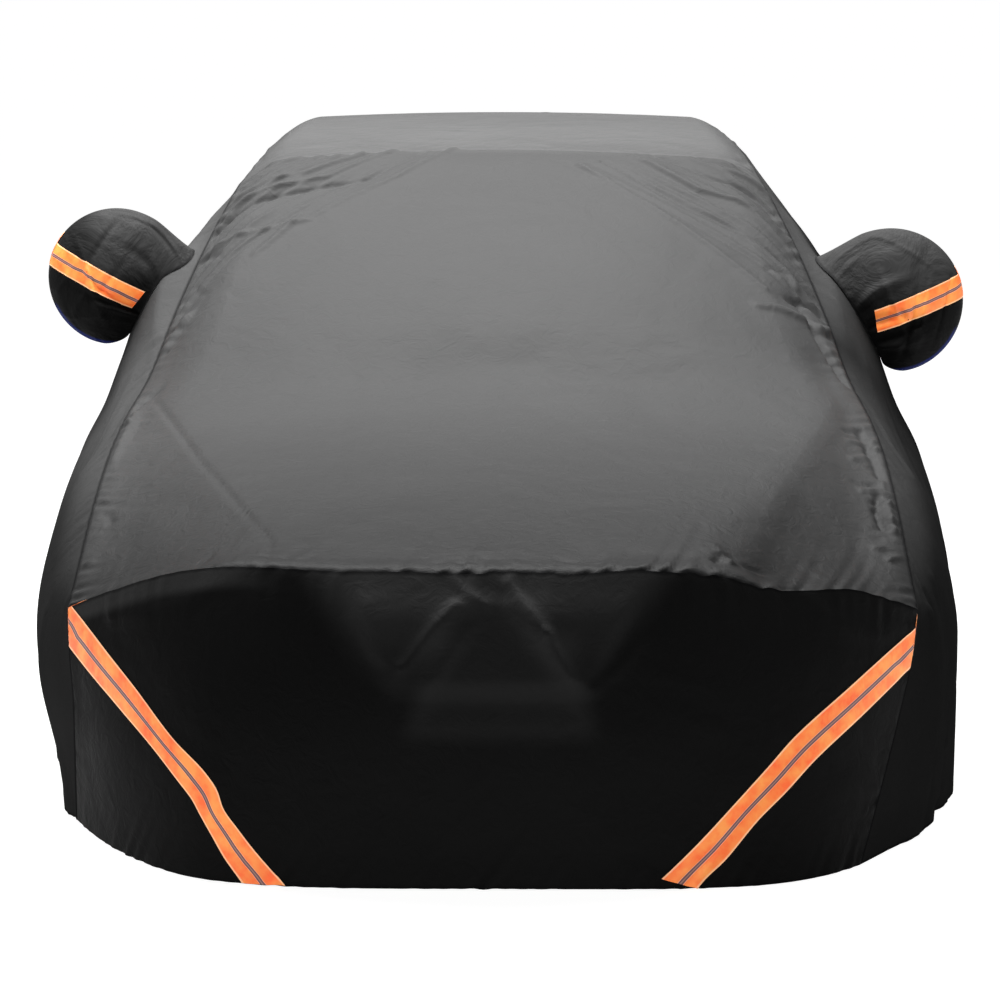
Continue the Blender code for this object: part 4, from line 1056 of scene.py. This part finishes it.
# Painted light just under the seam, where the side turns up towards the lamps: how pale
# it is painted, and how far down that reaches, at places along each side panel: y, share,
# reach
SIDE_PAINTED_LIGHT = {
    -1: [(0.45, 0.05, 0.02), (0.60, 0.22, 0.03), (0.80, 0.34, 0.04), (0.95, 0.54, 0.06),
         (1.20, 0.60, 0.12), (1.60, 0.46, 0.30), (2.20, 0.45, 0.16), (4.40, 0.40, 0.14)],
    +1: [(0.40, 0.10, 0.02), (0.60, 0.20, 0.04), (0.90, 0.34, 0.06), (1.20, 0.36, 0.10),
         (1.40, 0.16, 0.08), (1.50, 0.04, 0.08), (1.62, 0.30, 0.12), (2.20, 0.45, 0.16),
         (4.40, 0.40, 0.14)],
}
# Painted light and shade: the left side's base tones are paler than the right's, a lit and a
# shaded copy of the same taffeta, and the tone after them is the painted light
SIDE_DARKS = {-1: ("#232323", "#2c2c2c"), +1: ("#171717", "#1f1f1f")}
SIDE_PAINTED_LIT = "#4e4e4e"
SIDE_PUCKER = (0.0045, 0.020)
SIDE_END_PUCKER = (0.0025, 0.018)


def fade_in(distance):
    """No relief where a distance is under a hand's width."""
    return smooth_step(distance / 0.10)


def calm(place):
    """The hem lies smoother round the front wheel than further back."""
    return 0.35 + 0.65 * smooth_step((place - 3.5) / 2.0)


def side_surface(side, place, level, raise_by=0.0):
    """Side panel with its folds, for a full grid of the two parameters."""
    points = side_base(side, place, level)
    normal = surface_normals(points)
    normal *= np.sign(normal[..., 0:1] * side + 0.3 * normal[..., 2:3])
    fade = (smooth_step(level / FOLD_FADE) * smooth_step(place / 0.8)
            * smooth_step((BODY - 1 - place) / 0.8))
    lift = fold_field(points[..., 1], points[..., 2], SIDE_FOLDS[side]) * fade
    # The few points of a neck ring take the broad folds only
    if min(points.shape[:2]) > 3:
        first, second = along_edges(points)
        ends = fade_in(first) * fade_in(first[-1:] - first)
        fine = pucker(second, first, 3.1 + side, *SIDE_PUCKER)
        fine += fold_field(points[..., 1], points[..., 2], SIDE_CREASES[side]) * fade
        fine += pucker(first, second, 1.7, *SIDE_END_PUCKER) * ends
        hem = second[:, -1:] - second
        fine += hem_ripple(first, hem, 4.0 + side, 0.0045, 0.09) * ends * calm(place)
        (along, down, half_along, half_down, *_) = POCKETS[side]
        away = np.hypot((place - along) / half_along, (level - down) / half_down)
        lift = lift + fine * smooth_step((away - 1.05) / 0.5)
    return points + normal * (lift + raise_by)[..., None]


def side_painted_light(side, spots):
    """Painted light below the seam, fading to the darker base further down."""
    table = np.array(SIDE_PAINTED_LIGHT[side])
    share = np.interp(spots[:, 1], table[:, 0], table[:, 1])
    reach = np.interp(spots[:, 1], table[:, 0], table[:, 2])
    seam = np.interp(spots[:, 1], column("seam_y")[:BODY], column("seam_z")[:BODY])
    return share * np.exp(-(np.maximum(seam - spots[:, 2], 0) / reach)**2)


side_words = {-1: "left", +1: "right"}
BEHIND_MIRROR = 8.5      # section from which the columns stand further apart
side_places = np.concatenate([[START_GAP], np.linspace(0, BEHIND_MIRROR, 170)[1:],
                              np.linspace(BEHIND_MIRROR, BODY - 1, 90)[1:]])
side_places[-1] = BODY - 1 - END_GAP
side_levels = np.linspace(EDGE_GAP, 1.0, 81)
for side, word in side_words.items():
    cloth = coated_taffeta("coated_taffeta_" + word, (*SIDE_DARKS[side], SIDE_PAINTED_LIT), 0.58, 0.0,
                           [("near_top", CROSS_SEAM, 0.045, 0.004),
                            ("near_start", SIDE_SEAM, 0.045, 0.003),
                            ("near_end", SIDE_SEAM, 0.045, 0.003),
                            ("near_hem", CROSS_SEAM, 0.090, 0.006)])
    order = side_places if side < 0 else side_places[::-1]
    side_grid = np.meshgrid(order, side_levels, indexing="ij")
    points = side_surface(side, *side_grid)
    panel = cloth_sheet("side_cloth_" + word, points, turn_in=TURN_IN)
    # The neck hole is cut out of the sheet
    (along, down, half_along, half_down, *_) = POCKETS[side]
    oval = (((side_grid[0] - along) / half_along)**2
            + ((side_grid[1] - down) / half_down)**2) < HOLE_SHARE**2
    mesh = panel.data
    lost = {tuple(spot) for spot in np.round(points[oval] - ORIGIN, 5)}
    chosen = [tuple(spot) in lost for spot in np.round(vertex_places(mesh), 5)]
    mesh.polygons.foreach_set("select", np.zeros(len(mesh.polygons), dtype=bool))
    mesh.edges.foreach_set("select", np.zeros(len(mesh.edges), dtype=bool))
    mesh.vertices.foreach_set("select", np.array(chosen, dtype=bool))
    bpy.ops.object.mode_set(mode="EDIT")
    bpy.ops.mesh.delete(type="VERT")
    bpy.ops.object.mode_set(mode="OBJECT")
    panel.data.materials.append(cloth)
    spread_painted_light(panel, lambda spots: side_painted_light(side, spots))
    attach(panel, "root")
    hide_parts("side_panel_" + word)

# Mirror pockets: rounded bags of two faces sewn together at the rim and round the neck,
# with a dark blue binding showing along the lower half of the rim. The cloth is doubled
# and limp here, and crumples round the neck.
NECK_CLEAR = 0.0016      # how far the bag's cloth lies off the side panel's


def neck_ring(side, raise_by, count):
    """Points of the oval seam round the neck of a pocket."""
    (along, down, half_along, half_down, *_) = POCKETS[side]
    ring = np.zeros((count, 3))
    small = 0.01
    for number in range(count):
        turn = 2 * math.pi * number / count
        place = along - half_along * math.sin(turn)
        level = down - half_down * math.cos(turn)
        around = np.meshgrid([place - small, place, place + small],
                             [level - small, level, level + small], indexing="ij")
        ring[number] = side_surface(side, *around, raise_by=raise_by)[1, 1]
    return ring


def angle_between(turn, spot):
    """Signed angle from spot to turn, the shorter way round."""
    return (turn - spot + math.pi) % (2 * math.pi) - math.pi


def pocket_creases(side, turn, reach):
    """Sharp uneven creases that run out from the neck, and crumples across them."""
    chance = np.random.default_rng(40 + side)
    total = np.zeros(np.broadcast(turn, reach).shape)
    for number in range(26):
        spot = chance.uniform(0, 2 * math.pi)
        bend = chance.uniform(-0.5, 0.5)
        width = chance.uniform(0.03, 0.07)
        far = chance.uniform(0.25, 0.75)
        away = angle_between(turn, spot + bend * reach)
        tall = chance.uniform(0.10, 0.26) * (1 if number % 2 else -1)
        total = total + tall * hump(away, width) * (1 - smooth_step(reach / far - 0.2))
    for number in range(16):
        spot = chance.uniform(0, 2 * math.pi)
        ring = chance.uniform(0.25, 0.8)
        slant = chance.uniform(-0.5, 0.5)
        away = angle_between(turn, spot)
        across = reach - ring - slant * away
        tall = chance.uniform(0.06, 0.14) * (1 if number % 2 else -1)
        total = total + tall * hump(across, 0.018) * hump(away, 0.55)
    return total


def pocket_axes(side, turns):
    """Neck ring of a pocket, its middle, the ways outward and upward in the bag's plane,
    and the angle at which the bag leaves its neck."""
    (_, _, _, _, radius, _, lift_x, lift_z, _, _) = POCKETS[side]
    middle = neck_ring(side, 0.0, 18).mean(axis=0)
    outward = np.array([side * lift_x, 0.0, lift_z])
    upright = np.array([-side * lift_z, 0.0, lift_x])
    neck = neck_ring(side, CLOTH + NECK_CLEAR, turns)
    half_neck = np.max(np.abs((neck - middle) @ upright))
    return neck, middle, outward, upright, math.asin(min(half_neck / radius, 0.95))


def pocket_surface(side, rings, turns):
    """Rings of a pocket, from the seam round its neck to its far end."""
    (_, _, _, _, radius, thick, _, _, forward, stand_off) = POCKETS[side]
    neck, middle, outward, upright, start = pocket_axes(side, turns)
    centre = radius * math.cos(start)
    reach = np.linspace(0, 1, rings)[:, None]
    turn = (np.arange(turns) * 2 * math.pi / turns)[None, :]
    angle = start + (math.pi - start) * reach
    height = stand_off + centre - radius * np.cos(angle)
    half = radius * np.sin(angle)
    swell = thick * np.sin(np.clip(angle, 0, math.pi))**0.8
    lens = np.sign(np.sin(turn)) * np.abs(np.sin(turn))**1.35
    wave = 1 + 0.05 * np.sin(3 * turn + 2.0) * (1 - reach)
    wave = wave + pocket_creases(side, turn, reach)
    spot = (middle + outward * height[..., None] * np.ones_like(turn)[..., None]
            + upright * (half * np.cos(turn))[..., None]
            + np.array([0.0, -1.0, 0.0]) * (swell * lens * wave)[..., None])
    spot[..., 1] -= forward * smooth_step(reach / 0.35)
    blend = smooth_step(reach / 0.22)[..., None]
    return neck[None] * (1 - blend) + spot * blend


def disc_place(side, spots):
    """Height of a point over the middle of a pocket, and its distance from it."""
    (_, _, _, _, radius, _, _, _, _, stand_off) = POCKETS[side]
    _, middle, outward, _, start = pocket_axes(side, 40)
    centre = middle + outward * (stand_off + radius * math.cos(start))
    return spots[:, 2] - centre[2], np.hypot(*(spots - centre)[:, [0, 2]].T)


# How far out (x) the painted highlight on the upper half of each pocket reaches
POCKET_PAINTED_LIGHT_REACH = {-1: 0.905, +1: 1.010}


def pocket_painted_light(side, spots):
    """Painted highlight on the upper half of a pocket, which faces the lamps; the lower half is
    left nearly black.
    """
    over, _ = disc_place(side, spots)
    near_neck = smooth_step((POCKET_PAINTED_LIGHT_REACH[side] - np.abs(spots[:, 0])) / 0.07)
    return smooth_step((over + 0.015) / 0.05) * (0.12 + 0.88 * near_neck)


BINDING_WIDTH = 0.009
BINDING_DEPTH = 0.022


def mark_binding(side, piece):
    """Mark the bound rim that shows along the lower half of a pocket."""
    (_, _, _, _, radius, _, _, _, forward, _) = POCKETS[side]
    spots = vertex_places(piece.data) + ORIGIN
    over, away = disc_place(side, spots)
    seam_y = neck_ring(side, 0.0, 18).mean(axis=0)[1] - forward
    rim = smooth_step((away - radius + BINDING_WIDTH) / 0.002)
    rim *= smooth_step((BINDING_DEPTH - np.abs(spots[:, 1] - seam_y)) / 0.003)
    mark_points(piece.data, "bound", rim * smooth_step(-(over + 0.05) / 0.02))


pockets = {}
for side, word in side_words.items():
    # Painted shade: the pockets' base tones are darker than the upper panel's, a shaded copy of
    # the same taffeta, and the third tone is their painted light
    cloth = coated_taffeta("coated_taffeta_pocket_" + word, ("#121212", "#191919", "#303030"),
                           0.50, 0.02, [("near_top", CROSS_SEAM, 0.05, 0.006)],
                           crumple=0.016, crumple_scale=9.0)
    rings = pocket_surface(side, 64, 120)
    points = np.concatenate([rings, rings[:, :1]], axis=1).transpose(1, 0, 2)
    if side > 0:
        points = points[::-1]
    pocket = cloth_sheet("mirror_bag_" + word, points)
    pocket.data.materials.append(cloth)
    weld = pocket.modifiers.new("seam", "WELD")
    weld.merge_threshold = 0.00005
    bpy.ops.object.modifier_apply(modifier="seam")
    spread_painted_light(pocket, lambda spots: pocket_painted_light(side, spots))
    mark_binding(side, pocket)
    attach(pocket, "root")
    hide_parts("mirror_pocket_" + word)
    pockets[side] = pocket

# Reflective tapes: orange woven tape 50 to 58 mm wide with a grey band down its middle,
# sewn on along both edges with pale thread. Each is a run of places down the picture's
# plane: x and height of its upper edge, then of its lower edge.
TAPE_LIFT = 0.0014       # how far it lies off the cloth that carries it
TAPE_RETREAT = 0.002     # step back towards the middle where the cloth turns away
TAPE_FACING = 0.2        # how far the cloth has to face forwards to carry it
FRONT_STRIPS = {
    "left": [
        (-0.840, 0.484, -0.870, 0.425),
        (-0.774, 0.427, -0.812, 0.374),
        (-0.719, 0.380, -0.757, 0.330),
        (-0.654, 0.325, -0.690, 0.281),
        (-0.577, 0.250, -0.617, 0.223),
        (-0.513, 0.197, -0.566, 0.173),
        (-0.491, 0.167, -0.540, 0.145),
        (-0.481, 0.138, -0.525, 0.120),
        (-0.452, 0.099, -0.502, 0.082),
        (-0.423, 0.063, -0.480, 0.045),
        (-0.374, 0.009, -0.452, 0.007),
        (-0.335, -0.035, -0.425, -0.035),
    ],
    "right": [
        (0.850, 0.440, 0.870, 0.385),
        (0.794, 0.404, 0.815, 0.352),
        (0.735, 0.372, 0.758, 0.316),
        (0.663, 0.329, 0.692, 0.274),
        (0.552, 0.255, 0.590, 0.206),
        (0.500, 0.205, 0.536, 0.158),
        (0.447, 0.153, 0.486, 0.115),
        (0.382, 0.088, 0.425, 0.048),
        (0.330, 0.038, 0.388, 0.014),
        (0.296, 0.006, 0.366, -0.012),
        (0.262, -0.030, 0.335, -0.045),
    ],
}
POCKET_STRIPS = {
    "left": [(-0.990, 1.030, -1.010, 0.985), (-0.760, 0.905, -0.790, 0.868)],
    "right": [(1.020, 0.960, 1.020, 0.905), (0.800, 0.868, 0.808, 0.820)],
}


def reflective_tape(name):
    """Woven polyester tape: bright orange, a matt grey band in the middle, pale stitches."""
    material = bpy.data.materials.new(name)
    material.use_nodes = True
    tree = material.node_tree
    shader = tree.nodes["Principled BSDF"]
    place = add_node(tree, "ShaderNodeTexCoord").outputs["Object"]
    across = add_node(tree, "ShaderNodeAttribute", {"attribute_name": "tape_across"})
    along = add_node(tree, "ShaderNodeAttribute", {"attribute_name": "tape_along"})
    patches = add_node(tree, "ShaderNodeTexNoise", None,
                       {"Scale": 22.0, "Detail": 3.0, "Roughness": 0.6}, {"Vector": place})
    spread = add_node(tree, "ShaderNodeMapRange", None, {"From Min": 0.35, "From Max": 0.65},
                      {"Value": patches})
    orange = add_node(tree, "ShaderNodeMix", {"data_type": "RGBA"},
                      {6: linear("#ff9a4a"), 7: linear("#ff6a2e")},
                      {0: spread})
    # Bands across the width, from one edge (0) to the other (1)
    bands = add_node(tree, "ShaderNodeValToRGB", None, None, {"Fac": across.outputs["Fac"]})
    ramp = bands.color_ramp
    ramp.interpolation = "LINEAR"
    stops = [(0.0, "#ffd2a0", 0.75), (0.035, "#ffd2a0", 0.6), (0.06, "#ffffff", 0.0),
             (0.42, "#ffffff", 0.0), (0.44, "#5a3a3c", 1.0), (0.475, "#6a4a4c", 1.0),
             (0.50, "#a08078", 0.95), (0.525, "#6a4a4c", 1.0), (0.56, "#5a3a3c", 1.0),
             (0.58, "#ffffff", 0.0), (0.94, "#ffffff", 0.0), (0.965, "#ffd2a0", 0.6),
             (1.0, "#ffd2a0", 0.75)]
    while len(ramp.elements) < len(stops):
        ramp.elements.new(0.5)
    for element, (spot, code, share) in zip(ramp.elements, stops):
        element.position = spot
        element.color = linear(code, share)
    colour = add_node(tree, "ShaderNodeMix", {"data_type": "RGBA"}, None,
                      {0: bands.outputs["Alpha"], 6: orange.outputs[2],
                       7: bands.outputs["Color"]})
    tree.links.new(colour.outputs[2], shader.inputs["Base Color"])
    # Slight cross crinkles, about 15 mm apart, and a ribbed weave along the tape
    both = add_node(tree, "ShaderNodeCombineXYZ", None, None,
                    {"X": along.outputs["Fac"], "Y": across.outputs["Fac"]})
    turned = add_node(tree, "ShaderNodeMapping", None, {"Scale": (70.0, 1.2, 1.0)},
                      {"Vector": both})
    crinkle = add_node(tree, "ShaderNodeTexNoise", None,
                       {"Scale": 1.0, "Detail": 2.0, "Roughness": 0.5},
                       {"Vector": turned})
    bump = add_node(tree, "ShaderNodeBump", None, {"Strength": 0.5, "Distance": 0.002},
                    {"Height": crinkle})
    tree.links.new(bump.outputs["Normal"], shader.inputs["Normal"])
    # Painted glow: an emission in the tape's own colour stands in for the light it sends back to
    # where it comes from, so that it looks brighter than plain cloth
    tree.links.new(colour.outputs[2], shader.inputs["Emission Color"])
    shader.inputs["Emission Strength"].default_value = 0.28
    shader.inputs["Roughness"].default_value = 0.42
    shader.inputs["Specular IOR Level"].default_value = 0.4
    return material


def tape_sheet(name, edges, carrier, steps):
    """Tape laid on the sheet that carries it, between its upper and lower edge."""
    surface = BVHTree.FromPolygons([vertex.co for vertex in carrier.data.vertices],
                                   [face.vertices for face in carrier.data.polygons])
    edges = np.array(edges, dtype=float)
    if len(edges) > 2:
        knots = np.concatenate([[0], np.cumsum(np.hypot(np.diff(edges[:, 0]),
                                                        np.diff(edges[:, 1])))])
        fine = spline(knots, edges, np.linspace(0, knots[-1], steps))
    else:
        fine = edges[0] + (edges[1] - edges[0]) * np.linspace(0, 1, steps)[:, None]
    rows = []
    for upper_x, upper_z, lower_x, lower_z in fine:
        row = []
        for share in np.linspace(0, 1, 11):
            x = upper_x + (lower_x - upper_x) * share
            z = upper_z + (lower_z - upper_z) * share - ORIGIN[2]
            for retreat in range(40):
                spot = Vector((x * (1 - TAPE_RETREAT * retreat), -4.0, z))
                hit, normal, _, _ = surface.ray_cast(spot, Vector((0, 1, 0)))
                if hit is not None and abs(normal.y) > TAPE_FACING:
                    break
                hit = None
            if hit is None:
                break
            if normal.y > 0:
                normal = -normal
            row.append(np.array(hit + normal * TAPE_LIFT))
        else:
            rows.append(row)
    points = np.array(rows) + ORIGIN
    tape = cloth_sheet(name, points)
    mesh = tape.data
    across, _ = along_edges(points)
    near = {word: np.zeros(len(mesh.vertices)) for word in ("near_start", "near_top", "near_hem")}
    for word, values in near.items():
        mesh.attributes[word].data.foreach_get("value", values)
    mark_points(mesh, "tape_across", near["near_top"] / (near["near_top"] + near["near_hem"]))
    mark_points(mesh, "tape_along", near["near_start"])
    if np.cross(points[1, 0] - points[0, 0], points[0, 1] - points[0, 0])[1] > 0:
        mesh.flip_normals()
    return tape, float(across[-1].mean())


for word, edges in FRONT_STRIPS.items():
    tape, length = tape_sheet("front_tape_" + word, edges, front, 180)
    tape.data.materials.append(reflective_tape("woven_tape_front_" + word))
    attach(tape, "root")
    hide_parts("front_strip_" + word)
for side, word in side_words.items():
    tape, length = tape_sheet("pocket_tape_" + word, POCKET_STRIPS[word], pockets[side], 90)
    tape.data.materials.append(reflective_tape("woven_tape_pocket_" + word))
    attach(tape, "root")
    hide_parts("pocket_strip_" + word)
